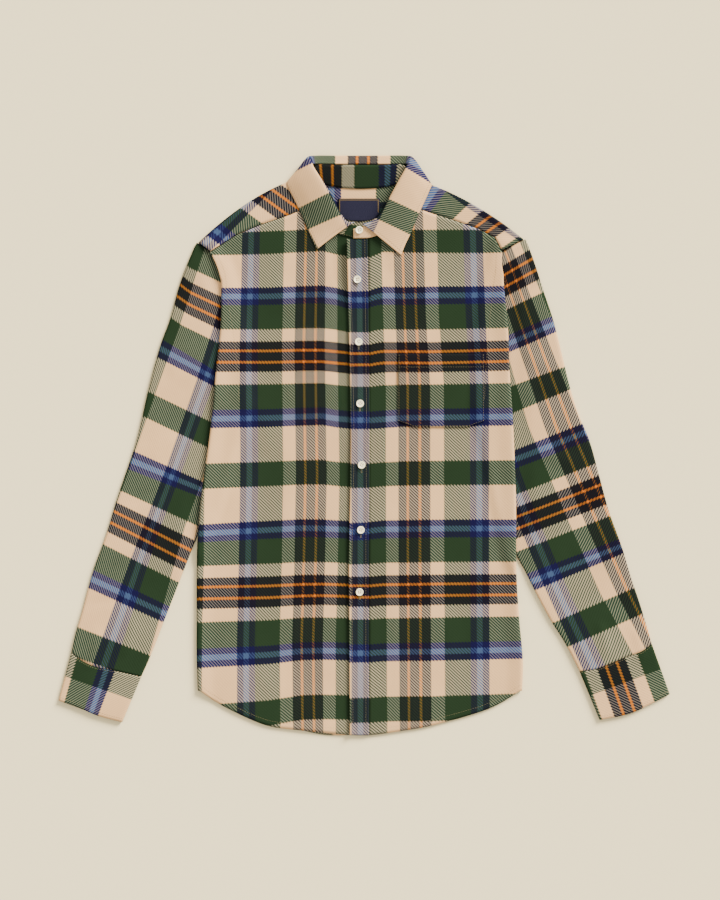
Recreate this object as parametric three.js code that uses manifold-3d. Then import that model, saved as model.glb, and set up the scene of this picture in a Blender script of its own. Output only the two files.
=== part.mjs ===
// A long-sleeved button-up shirt in brushed check cloth, lying flat on its back.
// Millimetres, +Z up, +Y towards the collar. The wearer's right side is at -X.
// The origin is on the centre line, on the surface that the back panel rests on.
import * as THREE from 'three';
import Module from 'manifold-3d';
import { mergeVertices } from 'three/addons/utils/BufferGeometryUtils.js';

const wasm = await Module();
wasm.setup();

// Cloth and how the layers lie
const WALL = 1.2;            // one layer of brushed cloth
const SEAM_GAP = 0.3;        // left between neighbouring pieces
const AIR = 1.0;             // between back and front in the middle
const AIR_AT_SIDES = 1.6;    // between back and front at the side folds
const LAP = WALL + SEAM_GAP; // height of a piece laid on another
const HALF = WALL / 2;

// Body
const SIDE_SEAM_IN = 30;     // side seam, in from the side fold, on the underside
const HEM_CORNER_Y = -341;
const SIDE_SEAM_HEM_Y = -334;
const HEM_RISE_Y = -250;     // below this the turned side is cut upwards
const YOKE_SEAM_Y = 270;     // straight seam across the back
const ARMHOLE_TOP_Y = 238;   // above this the armhole seam slants out to the shoulder
const YOKE_TUCK = 5;         // sleeve head under the yoke and front
const ARM_CLEARANCE = 1.2;   // sleeve head off the armhole, underneath

// Sleeves and cuffs
const SLEEVE_PRESSED = 3.4;  // two layers of sleeve under the body
const SLEEVE_HEIGHT = 5.0;   // two layers of sleeve, lying free
const SLEEVE_HEAD = 5.2;     // two layers of sleeve at the shoulder
const FREE_BELOW_Y = -190;   // from here down the sleeve lies clear of the body
const SEEN_FROM = 6;         // the sleeve starts to rise this far past the body's edge
const SEEN_RISE = 24;        // and has its full height this much further on
const CUFF_WALL = 1.8;
const CUFF_HEIGHT = 5.4;

// Trims
const BAND_TOP_Y = 290.8;
const BAND_BOTTOM_Y = -405;
const BAND_SQUARE_Y = -380;   // below this the band follows the hem
const POCKET = { left: 53, right: 174, top: 130, bottom: 28, corner: 23, chamfer: 8, wall: 1.2 };
const POCKET_LOFT = 0.6;      // the pocket stands a little off the front
const LABEL = { width: 58, height: 32, x: -1.5, y: 332, wall: 1 };
const BUTTON = { radius: 5.5, height: 2.6, rim: 1.1, dish: 0.8, holeRadius: 0.7, holeOffset: 1.3 };
const COLLAR_BUTTON = { x: -2.1, y: 299, z: 8.4, tilt: 0.1 };
const BUTTON_SPOTS = [
  { x: -3.9, y: 234.4 },
  { x: -1.8, y: 147.3 },
  { x: 0.1, y: 60.8 },
  { x: 2.2, y: -25.2 },
  { x: 1.1, y: -116.1 },
  { x: -0.6, y: -203.0 },
];

// Visible side folds of the body, and above y = 240 the armhole seam
const SIDE_FOLD = [
  { y: -344, right: -226.6, left: 226.4 },
  { y: -298, right: -228.2, left: 227.5 },
  { y: -242, right: -228.2, left: 222.6 },
  { y: -175, right: -228.2, left: 218.4 },
  { y: -130, right: -226.8, left: 218.0 },
  { y: -74, right: -222.2, left: 217.7 },
  { y: 5, right: -211.4, left: 215.0 },
  { y: 59, right: -205.1, left: 212.2 },
  { y: 107, right: -201.3, left: 208.9 },
  { y: 165, right: -195.0, left: 206.6 },
  { y: 218, right: -193.7, left: 201.6 },
  { y: 240, right: -195.2, left: 199.8 },
  { y: 256, right: -200.5, left: 197.3 },
  { y: 274, right: -209.0, left: 197.8 },
];

// Hem of the fronts and of the back
const HEM = [
  { x: -227, front: -341, back: -322 },
  { x: -205, front: -356.6, back: -331 },
  { x: -166, front: -376.6, back: -352 },
  { x: -129, front: -390.9, back: -378 },
  { x: -87, front: -396.6, back: -395 },
  { x: -52, front: -400.0, back: -403.2 },
  { x: -15, front: -403.0, back: -403.8 },
  { x: 14, front: -403.6, back: -401 },
  { x: 57, front: -398.0, back: -395 },
  { x: 92, front: -392.3, back: -389 },
  { x: 121, front: -385.1, back: -381 },
  { x: 152, front: -376.6, back: -366 },
  { x: 182, front: -366.7, back: -346 },
  { x: 204, front: -355.9, back: -331 },
  { x: 227, front: -341.0, back: -322 },
];

// Upper edge of each front, from the armhole along the yoke seam and then round the neck.
// The seam rows come first; parts is how many columns of cloth reach the next row.
const FRONT_TOP = {
  right: [
    { x: -209, y: 273, parts: 2 },
    { x: -193, y: 284.2, parts: 2 },
    { x: -173, y: 297.2, parts: 3 },
    { x: -140, y: 310.8, parts: 2 },
    { x: -99, y: 324.8, parts: 2 },
    { x: -67, y: 339, parts: 1 },
    { x: -54, y: 320, parts: 1 },
    { x: -34, y: 304, parts: 1 },
    { x: -12, y: 296, parts: 1 },
    { x: 9, y: 295, parts: 0 },
  ],
  left: [
    { x: 198, y: 274.4, parts: 2 },
    { x: 189, y: 293, parts: 2 },
    { x: 167, y: 305, parts: 3 },
    { x: 127, y: 319, parts: 2 },
    { x: 98, y: 328, parts: 2 },
    { x: 67, y: 339, parts: 1 },
    { x: 54, y: 320, parts: 1 },
    { x: 34, y: 304, parts: 1 },
    { x: 20, y: 297, parts: 1 },
    { x: 11.5, y: 295, parts: 0 },
  ],
};
const YOKE_SEAM_ROWS = 6;

// Armhole seam from the shoulder to the underarm
const ARMHOLE = {
  right: [
    { x: -227, y: 286 },
    { x: -209, y: 273 },
    { x: -196, y: 240 },
    { x: -186, y: 200 },
    { x: -178, y: 150 },
    { x: -173, y: 100 },
    { x: -170.8, y: 58.8 },
  ],
  left: [
    { x: 230.3, y: 290.8 },
    { x: 199, y: 274 },
    { x: 191, y: 240 },
    { x: 186, y: 200 },
    { x: 181, y: 150 },
    { x: 177.5, y: 100 },
    { x: 176, y: 62 },
  ],
};

// Outer and inner folds of the sleeves and the seam of each cuff, from the outer fold
const SLEEVE = {
  right: {
    outer: [
      { x: -227.2, y: 286 },
      { x: -236.5, y: 268 },
      { x: -252, y: 228 },
      { x: -266, y: 178 },
      { x: -278.6, y: 144 },
      { x: -296.8, y: 77 },
      { x: -312.2, y: 10 },
      { x: -340.2, y: -74 },
      { x: -355.6, y: -125 },
      { x: -373.8, y: -175 },
      { x: -388, y: -228 },
      { x: -398, y: -262 },
      { x: -403.6, y: -287 },
    ],
    inner: [
      { x: -170.8, y: 58.8 },
      { x: -219.8, y: -102.2 },
      { x: -235.2, y: -141.4 },
      { x: -254.8, y: -191.8 },
      { x: -274.4, y: -242.2 },
      { x: -294, y: -292.6 },
      { x: -306.6, y: -321 },
    ],
    wrist: [
      { x: -403.6, y: -287 },
      { x: -398, y: -293 },
      { x: -373.8, y: -306.4 },
      { x: -348.2, y: -311.8 },
      { x: -306.6, y: -321 },
    ],
  },
  left: {
    outer: [
      { x: 230.3, y: 290.8 },
      { x: 240, y: 269 },
      { x: 259, y: 211.4 },
      { x: 270.2, y: 177.8 },
      { x: 282.8, y: 127.4 },
      { x: 295.4, y: 77 },
      { x: 306.6, y: 43.4 },
      { x: 320.6, y: 9.8 },
      { x: 334.6, y: -40.6 },
      { x: 348.6, y: -91 },
      { x: 366.8, y: -141.4 },
      { x: 379.4, y: -183.4 },
      { x: 393.4, y: -225.4 },
      { x: 408.2, y: -275.8 },
    ],
    inner: [
      { x: 176, y: 62 },
      { x: 218.4, y: -147 },
      { x: 232.4, y: -175 },
      { x: 249.2, y: -208.6 },
      { x: 267.4, y: -242.2 },
      { x: 288.4, y: -275.8 },
      { x: 307.9, y: -313.8 },
    ],
    wrist: [
      { x: 408.2, y: -275.8 },
      { x: 392.6, y: -286.6 },
      { x: 372.8, y: -293.8 },
      { x: 328.7, y: -311 },
      { x: 307.9, y: -313.8 },
    ],
  },
};

// Free edges of the cuffs, each from the outer fold
const CUFF_EDGE = {
  right: [
    { x: -421.7, y: -354.9 },
    { x: -389, y: -366.8 },
    { x: -369, y: -375.4 },
    { x: -333.5, y: -385.2 },
  ],
  left: [
    { x: 433.3, y: -346 },
    { x: 410, y: -358 },
    { x: 378, y: -373 },
    { x: 336, y: -382.1 },
  ],
};

// Half of the yoke, from the front seam over the shoulder fold to the middle of the back.
// The bow is how far the middle of the section stands off the straight line, in Y.
const YOKE = {
  right: { neckFront: [-67.5, 339.6], neckFold: [-70, 371], armFold: [-225.4, 286.4], bow: 14, cornerX: 206.4 },
  left: { neckFront: [67.5, 339.6], neckFold: [70, 371], armFold: [228.2, 290.8], bow: 13, cornerX: 196.2 },
};
const YOKE_BACK = [
  { neckX: 62, neckY: 373, across: 1 },
  { neckX: 48, neckY: 369, across: 0.7 },
  { neckX: 28, neckY: 366, across: 0.38 },
  { neckX: 0, neckY: 365, across: 0 },
];

// Collar leaf: a section for each row, from the end at the wearer's right front, round the
// back of the neck, to the other front end. Each runs from the top of the stand over the
// crest to the free edge.
const LEAF = [
  { start: [-7, 314.0, 8.0], crest: [-10, 313, 9.6], middle: [-36, 295, 7.6], edge: [-60.2, 276.6, 5.2] },
  { start: [-17.5, 315, 9.0], crest: [-20, 314, 10.6], middle: [-44, 302, 8.4], edge: [-66.6, 290, 4.6] },
  { start: [-26.6, 325.4, 11], crest: [-29, 324.6, 12.6], middle: [-53, 314.6, 9.4], edge: [-73.6, 305, 4.4] },
  { start: [-40, 351.4, 14], crest: [-42.4, 350.4, 15.6], middle: [-66, 340, 11.6], edge: [-84.6, 331, 4.6] },
  { start: [-53.2, 372.4, 16], crest: [-55.4, 371.6, 17.6], middle: [-76, 361, 13.4], edge: [-92.6, 347.6, 5.0] },
  { start: [-65, 391, 15], crest: [-67, 391.6, 16.8], middle: [-85, 378.4, 12.4], edge: [-99.4, 361, 5.4] },
  { start: [-66, 395, 12], crest: [-71.4, 405, 11.6], middle: [-89, 386, 7], edge: [-101.8, 371.2, 3.6] },
  { start: [-61, 395.9, 9], crest: [-61, 407.2, 6.4], middle: [-63, 396, 2.0], edge: [-64, 379, 1.1] },
  { start: [-34, 395.9, 7.4], crest: [-34, 407.4, 4.8], middle: [-34, 396, 1.4], edge: [-36, 373, 0.9] },
  { start: [0, 395.9, 7.0], crest: [0, 407.4, 4.6], middle: [0, 396, 1.3], edge: [0, 370, 0.9] },
  { start: [34, 395.9, 7.4], crest: [34, 407.4, 4.8], middle: [34, 396, 1.4], edge: [36, 373, 0.9] },
  { start: [61, 395.9, 9], crest: [61, 407.2, 6.4], middle: [63, 396, 2.0], edge: [64, 379, 1.1] },
  { start: [66, 395, 12], crest: [71.4, 405, 11.6], middle: [89, 384, 7], edge: [99.6, 368.4, 3.6] },
  { start: [65, 391, 15], crest: [67, 391.6, 16.8], middle: [84, 376, 12.4], edge: [96.6, 358, 5.4] },
  { start: [54.6, 372.4, 16], crest: [56.8, 371.6, 17.6], middle: [76, 358, 13.4], edge: [90.4, 344, 5.0] },
  { start: [42.7, 350.7, 14], crest: [45, 349.6, 15.6], middle: [66, 336, 11.6], edge: [83, 328, 4.6] },
  { start: [28, 324.4, 11], crest: [30.4, 323.4, 12.6], middle: [52, 310, 9.4], edge: [71.4, 300, 4.4] },
  { start: [15.4, 315, 9], crest: [18, 314, 10.6], middle: [42, 298, 8.4], edge: [63.6, 284, 4.6] },
  { start: [2.8, 311.5, 8.4], crest: [5.6, 310, 10], middle: [32, 289, 7.6], edge: [57.4, 268.2, 5.2] },
];

// Collar stand: a section for each row, from its under end round the neck to its upper end
const STAND = [
  { foot: [7, 293, 4.4], head: [7, 308.5, 6.0] },
  { foot: [-12, 293.4, 4.4], head: [-8.4, 310.4, 6.2] },
  { foot: [-34, 301, 4.4], head: [-20.4, 312, 7.4] },
  { foot: [-55, 317, 4.4], head: [-30.4, 323, 9.2] },
  { foot: [-68, 337, 4.4], head: [-44, 348.6, 12] },
  { foot: [-73.4, 356, 4.5], head: [-57, 369.6, 14] },
  { foot: [-70.6, 369, 4.4], head: [-64.4, 386, 13.6] },
  { foot: [-58, 369, 3.4], head: [-60, 394.2, 8.8] },
  { foot: [-34, 364, 2.2], head: [-34, 394.6, 7.2] },
  { foot: [0, 361.6, 2.1], head: [0, 394.6, 6.8] },
  { foot: [34, 364, 2.2], head: [34, 394.6, 7.2] },
  { foot: [58, 369, 3.4], head: [60, 394.2, 8.8] },
  { foot: [70.6, 369, 4.4], head: [64.4, 386, 13.6] },
  { foot: [73.4, 356, 4.5], head: [58.4, 369.6, 14] },
  { foot: [68, 337, 4.4], head: [46.6, 348, 12] },
  { foot: [55, 317, 4.4], head: [32, 322, 9.2] },
  { foot: [34, 301, 4.6], head: [19.6, 311.8, 7.6] },
  { foot: [14, 293, 5.6], head: [5.4, 308.6, 7.6] },
  { foot: [-9.4, 292, 6.2], head: [-9.4, 305, 7.4] },
];

const COLOURS = { cloth: '#43563c', band: '#2c4427', cuff: '#5a6a52', button: '#efece4', label: '#20244f' };

function smooth(t) {
  const c = THREE.MathUtils.clamp(t, 0, 1);
  return c * c * (3 - 2 * c);
}

function lerp(a, b, t) {
  return a + (b - a) * t;
}

// Value of one column of a table at a given place in another column, by straight runs
function readTable(rows, inKey, outKey, at) {
  const rising = rows[rows.length - 1][inKey] > rows[0][inKey];
  const ordered = rising ? rows : [...rows].reverse();
  let i = 1;
  while (i < ordered.length - 1 && ordered[i][inKey] < at) i += 1;
  const a = ordered[i - 1];
  const b = ordered[i];
  const t = THREE.MathUtils.clamp((at - a[inKey]) / (b[inKey] - a[inKey]), 0, 1);
  return lerp(a[outKey], b[outKey], t);
}

// The same, along a smooth curve through the rows
function readCurve(rows, inKey, outKey, at) {
  const rising = rows[rows.length - 1][inKey] > rows[0][inKey];
  const ordered = rising ? rows : [...rows].reverse();
  const last = ordered.length - 1;
  let i = 0;
  while (i < last - 1 && ordered[i + 1][inKey] < at) i += 1;
  const knots = [-1, 0, 1, 2].map((k) => ordered[THREE.MathUtils.clamp(i + k, 0, last)]);
  const [before, a, b, after] = knots;
  const span = b[inKey] - a[inKey];
  const t = THREE.MathUtils.clamp((at - a[inKey]) / span, 0, 1);
  const slopeA = ((b[outKey] - before[outKey]) / (b[inKey] - before[inKey])) * span;
  const slopeB = ((after[outKey] - a[outKey]) / (after[inKey] - a[inKey])) * span;
  const t2 = t * t;
  const t3 = t2 * t;
  return (2 * t3 - 3 * t2 + 1) * a[outKey] + (t3 - 2 * t2 + t) * slopeA
    + (3 * t2 - 2 * t3) * b[outKey] + (t3 - t2) * slopeB;
}

function curveThrough(rows) {
  const points = rows.map((row) => new THREE.Vector3(row.x, row.y, 0));
  return new THREE.CatmullRomCurve3(points, false, 'centripetal');
}

function distanceToRun(x, y, rows) {
  let least = Infinity;
  const place = new THREE.Vector3(x, y, 0);
  const nearest = new THREE.Vector3();
  for (let i = 1; i < rows.length; i += 1) {
    const a = new THREE.Vector3(rows[i - 1].x, rows[i - 1].y, 0);
    const b = new THREE.Vector3(rows[i].x, rows[i].y, 0);
    new THREE.Line3(a, b).closestPointToPoint(place, true, nearest);
    least = Math.min(least, nearest.distanceTo(place));
  }
  return least;
}

function sideOf(x) {
  return x < 0 ? 'right' : 'left';
}

// How far a layer is lifted by the sleeve under the side of the body
const LIFT = SLEEVE_PRESSED + SEAM_GAP;
const LIFT_AT_ARMHOLE = 2.8;
const LIFT_CHANGE = 40;      // height over which one turns into the other
const LIFT_MARGIN = 5;
const LIFT_FALL = 17;
const SIDE_ROUNDING = 25;    // width over which the front settles beside its fold

function liftAt(x, y, withArmhole) {
  const side = sideOf(x);
  const hidden = SLEEVE[side].inner.slice(0, 3);
  const under = hidden[0];
  const run = withArmhole ? [...ARMHOLE[side].slice(1), ...hidden.slice(1)] : hidden;
  const aboveUnderarm = y > under.y;
  const table = aboveUnderarm ? ARMHOLE[side] : hidden;
  const inside = y > hidden.at(-1).y
    && (withArmhole || !aboveUnderarm)
    && Math.abs(x) > Math.abs(readCurve(table, 'y', 'x', y));
  const margin = withArmhole ? LIFT_MARGIN + YOKE_TUCK : LIFT_MARGIN;
  const distance = inside ? 0 : Math.max(0, distanceToRun(x, y, run) - margin);
  const height = lerp(LIFT, LIFT_AT_ARMHOLE, smooth((y - under.y) / LIFT_CHANGE));
  return height * smooth(1 - distance / LIFT_FALL);
}

function sideFoldX(side, y) {
  return readCurve(SIDE_FOLD, 'y', side, y);
}

function backMid(x, y) {
  return HALF + liftAt(x, y, false);
}

function frontMid(x, y) {
  const inwards = Math.abs(sideFoldX(sideOf(x), y)) - Math.abs(x);
  const air = lerp(AIR_AT_SIDES, AIR, smooth(inwards / SIDE_ROUNDING));
  return HALF + liftAt(x, y, true) + WALL + air;
}

// A wall of even thickness about a grid of points, closed round its rims.
// With ring set, each row of the grid joins its own start.
function wallAbout(grid, wall, ring = false) {
  const rows = grid.length;
  const columns = grid[0].length;
  const wrap = (j) => (ring ? (j + columns) % columns : THREE.MathUtils.clamp(j, 0, columns - 1));
  const corner = (i, j) => grid[THREE.MathUtils.clamp(i, 0, rows - 1)][wrap(j)];
  const positions = [];
  for (const sign of [1, -1]) {
    for (let i = 0; i < rows; i += 1) {
      for (let j = 0; j < columns; j += 1) {
        const along = corner(i + 1, j).clone().sub(corner(i - 1, j));
        const across = corner(i, j + 1).clone().sub(corner(i, j - 1));
        const normal = along.cross(across).normalize();
        const point = grid[i][j].clone().addScaledVector(normal, (sign * wall) / 2);
        positions.push(point.x, point.y, point.z);
      }
    }
  }
  const layer = rows * columns;
  const index = [];
  const addQuad = (a, b, c, d) => index.push(a, b, c, a, c, d);
  const spans = ring ? columns : columns - 1;
  for (let i = 0; i < rows - 1; i += 1) {
    for (let j = 0; j < spans; j += 1) {
      const a = i * columns + j;
      const b = i * columns + wrap(j + 1);
      const c = b + columns;
      const d = a + columns;
      addQuad(a, d, c, b);
      addQuad(layer + a, layer + b, layer + c, layer + d);
    }
  }
  for (let j = 0; j < spans; j += 1) {
    const a = j;
    const b = wrap(j + 1);
    const top = (rows - 1) * columns;
    addQuad(a, b, layer + b, layer + a);
    addQuad(top + b, top + a, layer + top + a, layer + top + b);
  }
  if (!ring) {
    for (let i = 0; i < rows - 1; i += 1) {
      const a = i * columns;
      const d = a + columns;
      const b = a + columns - 1;
      const c = b + columns;
      addQuad(d, a, layer + a, layer + d);
      addQuad(b, c, layer + c, layer + b);
    }
  }
  const geometry = new THREE.BufferGeometry();
  geometry.setAttribute('position', new THREE.Float32BufferAttribute(positions, 3));
  geometry.setIndex(signedVolume(positions, index) > 0 ? index : turned(index));
  return geometry;
}

function signedVolume(positions, index) {
  const at = (k) => new THREE.Vector3().fromArray(positions, 3 * k);
  let sum = 0;
  for (let i = 0; i < index.length; i += 3) {
    sum += at(index[i]).dot(at(index[i + 1]).cross(at(index[i + 2])));
  }
  return sum / 6;
}

function turned(index) {
  const out = [];
  for (let i = 0; i < index.length; i += 3) out.push(index[i], index[i + 2], index[i + 1]);
  return out;
}

function evenly(count) {
  return Array.from({ length: count + 1 }, (_, i) => i / count);
}

// Places along a table of points, each span cut into its number of parts
function splitSpans(rows) {
  const places = [{ x: rows[0].x, y: rows[0].y }];
  for (let i = 1; i < rows.length; i += 1) {
    const a = rows[i - 1];
    const b = rows[i];
    for (let k = 1; k <= a.parts; k += 1) {
      places.push({ x: lerp(a.x, b.x, k / a.parts), y: lerp(a.y, b.y, k / a.parts) });
    }
  }
  return places;
}

const UNDERARM_STEP = 5;     // the fold ends within this height above the underarm
const FULL_TURN = Math.PI;   // the front turns right under at the side
const ARMHOLE_TURN = Math.PI / 2;
const SHOULDER_TURN = Math.PI / 10;
const ARMHOLE_EDGE = 0.8;    // width of its turned edge there

// Heights of the rows of a front along its side: the lower side, the underarm, the armhole
function frontRowHeights(side) {
  const underarmY = ARMHOLE[side].at(-1).y;
  const lower = evenly(11).map((t) => lerp(HEM_CORNER_Y, underarmY, t));
  const upper = evenly(5).map((t) => lerp(underarmY + UNDERARM_STEP, ARMHOLE_TOP_Y, t));
  const seam = [1 / 2, 1].map((t) => lerp(ARMHOLE_TOP_Y, FRONT_TOP[side][0].y, t));
  return [...lower, ...upper, ...seam];
}

// A front lies on top, turns under at the side fold and runs in to the side seam.
// Above the underarm its edge only turns down over the sleeve.
function frontGrid(side) {
  const sign = side === 'right' ? -1 : 1;
  const top = splitSpans(FRONT_TOP[side]).reverse();
  const centre = top[0].x;
  const cornerX = sideFoldX(side, HEM_CORNER_Y);
  const underarmY = ARMHOLE[side].at(-1).y;
  const radius = (WALL + AIR_AT_SIDES) / 2;
  const foldSteps = 4;
  const stripSteps = 3;
  return frontRowHeights(side).map((edgeY) => {
    const row = [];
    const v = (edgeY - HEM_CORNER_Y) / (top.at(-1).y - HEM_CORNER_Y);
    const wholeTurn = edgeY < underarmY + 1;
    const partTurn = edgeY > ARMHOLE_TOP_Y - 1 ? SHOULDER_TURN : ARMHOLE_TURN;
    const turn = wholeTurn ? FULL_TURN : partTurn;
    const startX = sideFoldX(side, edgeY) - sign * radius * Math.sin(Math.min(turn, Math.PI / 2));
    for (const place of top) {
      const u = (place.x - centre) / (top.at(-1).x - centre);
      const bottomY = readCurve(HEM, 'x', 'front', lerp(centre, cornerX, u));
      const x = lerp(centre, startX, u);
      const y = lerp(bottomY, place.y, v);
      row.push(new THREE.Vector3(x, y, frontMid(x, y)));
    }
    const start = row.at(-1);
    for (let k = 1; k <= foldSteps; k += 1) {
      const angle = (turn * k) / foldSteps;
      const x = start.x + sign * radius * Math.sin(angle);
      row.push(new THREE.Vector3(x, start.y, start.z - radius * (1 - Math.cos(angle))));
    }
    const end = row.at(-1);
    const spread = wholeTurn ? SIDE_SEAM_IN : ARMHOLE_EDGE;
    const rise = smooth((HEM_RISE_Y - start.y) / 90) * (SIDE_SEAM_HEM_Y - HEM_CORNER_Y);
    for (let k = 1; k <= stripSteps; k += 1) {
      const run = (spread * k) / stripSteps;
      const x = end.x + sign * run * Math.cos(turn);
      const y = end.y + (rise * k) / stripSteps;
      const z = wholeTurn ? backMid(x, y) : end.z - run * Math.sin(turn);
      row.push(new THREE.Vector3(x, y, z));
    }
    return row;
  });
}

const UNDERARM_CURVE = 45;   // height over which the back's edge leaves the armhole
const COLUMN_SPREAD = 0.75;  // below 1, the back's columns are closer at the sides

// Side seam and armhole of the back
function backEdgeX(side, y) {
  const sign = side === 'right' ? -1 : 1;
  const underarm = ARMHOLE[side].at(-1);
  if (y > underarm.y) return readCurve(ARMHOLE[side], 'y', 'x', y) - sign * 2 * SEAM_GAP;
  const seamX = sideFoldX(side, y) - sign * (SIDE_SEAM_IN + 2);
  return lerp(underarm.x - sign * 2 * SEAM_GAP, seamX, smooth((underarm.y - y) / UNDERARM_CURVE));
}

// The back lies on the surface between the side seams and rises over the sleeves
function backGrid() {
  const columns = 20;
  const topY = YOKE_SEAM_Y - SEAM_GAP;
  return evenly(18).map((v) => {
    const edgeY = lerp(SIDE_SEAM_HEM_Y, topY, v);
    const rightX = backEdgeX('right', edgeY);
    const leftX = backEdgeX('left', edgeY);
    return evenly(columns).map((across) => {
      const fromMiddle = Math.sign(across - 0.5) * Math.abs(2 * across - 1) ** COLUMN_SPREAD;
      const x = lerp(rightX, leftX, 0.5 + fromMiddle / 2);
      const y = lerp(readCurve(HEM, 'x', 'back', x), topY, v);
      return new THREE.Vector3(x, y, backMid(x, y));
    });
  });
}

// A section of the yoke from the neck to the armhole or the back seam
function straightSection(neck, arm, bow, count) {
  return evenly(count).map((t) => new THREE.Vector3(
    lerp(neck[0], arm[0], t),
    lerp(neck[1], arm[1], t) + bow * 4 * t * (1 - t),
    HALF,
  ));
}

// Half of the yoke, from the front seam over the shoulder fold to the middle of the back
function yokeHalf(side) {
  const sign = side === 'right' ? -1 : 1;
  const { neckFold, armFold, bow, cornerX } = YOKE[side];
  const seamRows = FRONT_TOP[side].slice(0, YOKE_SEAM_ROWS);
  const seam = splitSpans(seamRows).reverse().map(({ x, y }) => new THREE.Vector3(x, y + SEAM_GAP + 0.2, 0));
  const fold = straightSection(neckFold, armFold, bow, seam.length - 1);
  const rows = [0, 0.35, 0.7, 0.93].map((t) => seam.map((point, i) => {
    const place = point.clone().lerp(fold[i], t);
    return place.setZ(frontMid(place.x, place.y));
  }));
  for (const share of [0.25, 0.5, 0.75, 1]) {
    const angle = share * Math.PI;
    rows.push(fold.map((point) => {
      const radius = (frontMid(point.x, point.y) - HALF) / 2;
      const z = HALF + radius * (1 + Math.cos(angle));
      return new THREE.Vector3(point.x, point.y + (Math.sin(angle) - 1) * radius, z);
    }));
  }
  for (const { neckX, neckY, across } of YOKE_BACK) {
    rows.push(straightSection([sign * neckX, neckY], [sign * across * cornerX, YOKE_SEAM_Y], 0, seam.length - 1));
  }
  return rows;
}

function yokeGrid() {
  const other = yokeHalf('left').reverse();
  return [...yokeHalf('right'), ...other.slice(1)];
}

// A flattened tube: each row of the grid goes round it once
const EDGE_ROUND = [
  { inset: 0, rise: 0.5 },
  { inset: 0.7, rise: 0.86 },
  { inset: 2.6, rise: 1 },
];

function tubeGrid(outline, steps, acrossSteps, wall, heightAt) {
  const rows = [];
  for (const t of steps) {
    const width = outline(0, t, 1).distanceTo(outline(1, t, 1));
    const insets = EDGE_ROUND.map((row) => ({ s: row.inset / width, rise: row.rise }));
    const middle = Array.from({ length: acrossSteps - 1 }, (_, i) => ({ s: (i + 1) / acrossSteps, rise: 1 }));
    const mirrored = [...insets].reverse().map((row) => ({ s: 1 - row.s, rise: row.rise }));
    const upper = [...insets, ...middle, ...mirrored];
    const lower = upper.slice(1, -1).reverse().map((row) => ({ s: row.s, rise: 1 - row.rise }));
    rows.push([...upper, ...lower].map(({ s, rise }) => {
      const point = outline(s, t, rise);
      const height = heightAt(point.x, point.y, s, t) - wall;
      return new THREE.Vector3(point.x, point.y, wall / 2 + rise * height);
    }));
  }
  return rows;
}

// Height of the two layers of a sleeve: low under the body, full at the shoulder and below
function sleeveHeight(side, x, y) {
  const head = lerp(SLEEVE_PRESSED, SLEEVE_HEAD, smooth((y - ARMHOLE_TOP_Y) / 22));
  const underBody = lerp(SLEEVE_HEIGHT, head, smooth((y - FREE_BELOW_Y) / 30));
  const free = lerp(SLEEVE_HEIGHT, SLEEVE_HEAD, smooth((y - 200) / 60));
  const pastBody = Math.abs(x) - Math.abs(sideFoldX(side, Math.max(y, FREE_BELOW_Y)));
  return lerp(underBody, free, smooth((pastBody - SEEN_FROM) / SEEN_RISE));
}

const HEAD_SHARE = 0.04;     // share of the sleeve's length that is shaped to the armhole

// The upper layer of the head is tucked under the yoke and the top of the front
function sleeveGeometry(side) {
  const sign = side === 'right' ? -1 : 1;
  const outer = curveThrough(SLEEVE[side].outer);
  const inner = curveThrough(SLEEVE[side].inner);
  const shoulder = ARMHOLE[side][0];
  const underarm = ARMHOLE[side].at(-1);
  const wrist = curveThrough(SLEEVE[side].wrist);
  const outline = (s, t, rise) => {
    const a = outer.getPointAt(t);
    const b = inner.getPointAt(t);
    const headY = lerp(shoulder.y, underarm.y, s);
    const start = new THREE.Vector3(readCurve(ARMHOLE[side], 'y', 'x', headY), headY, 0);
    const end = wrist.getPointAt(s);
    const point = a.clone().lerp(b, s);
    point.add(start.sub(outer.getPointAt(0).lerp(inner.getPointAt(0), s)).multiplyScalar(1 - t));
    point.add(end.sub(outer.getPointAt(1).lerp(inner.getPointAt(1), s)).multiplyScalar(t));
    const tuck = rise > 0.5 ? YOKE_TUCK * smooth((s - 0.03) / 0.15) * smooth((0.5 - s) / 0.2) : 0;
    point.x -= sign * (tuck - ARM_CLEARANCE) * smooth(1 - t / HEAD_SHARE);
    return point;
  };
  const steps = [0, 0.045, ...evenly(13).slice(1)];
  return wallAbout(tubeGrid(outline, steps, 8, WALL, (x, y) => sleeveHeight(side, x, y)), WALL, true);
}

// A cuff starts a seam's gap past the end of its sleeve
function cuffGeometry(side) {
  const wrist = curveThrough(SLEEVE[side].wrist);
  const free = curveThrough(CUFF_EDGE[side]);
  const outline = (s, t) => {
    const end = free.getPointAt(s);
    const start = wrist.getPointAt(s);
    start.addScaledVector(end.clone().sub(start).normalize(), 2 * SEAM_GAP);
    return start.lerp(end, t);
  };
  return wallAbout(tubeGrid(outline, evenly(3), 6, CUFF_WALL, () => CUFF_HEIGHT), CUFF_WALL, true);
}

// A sheet through a table of sections: a smooth curve along the rows, then across each
function sheetThrough(rows, keys, along, across) {
  const rails = keys.map((key) => {
    const points = rows.map((row) => new THREE.Vector3(...row[key]));
    return new THREE.CatmullRomCurve3(points, false, 'centripetal');
  });
  return evenly(along).map((t) => {
    const section = rails.map((rail) => rail.getPoint(t));
    if (section.length === 2) return evenly(across).map((s) => section[0].clone().lerp(section[1], s));
    const curve = new THREE.CatmullRomCurve3(section, false, 'centripetal');
    return evenly(across).map((s) => curve.getPoint(s));
  });
}

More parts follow.
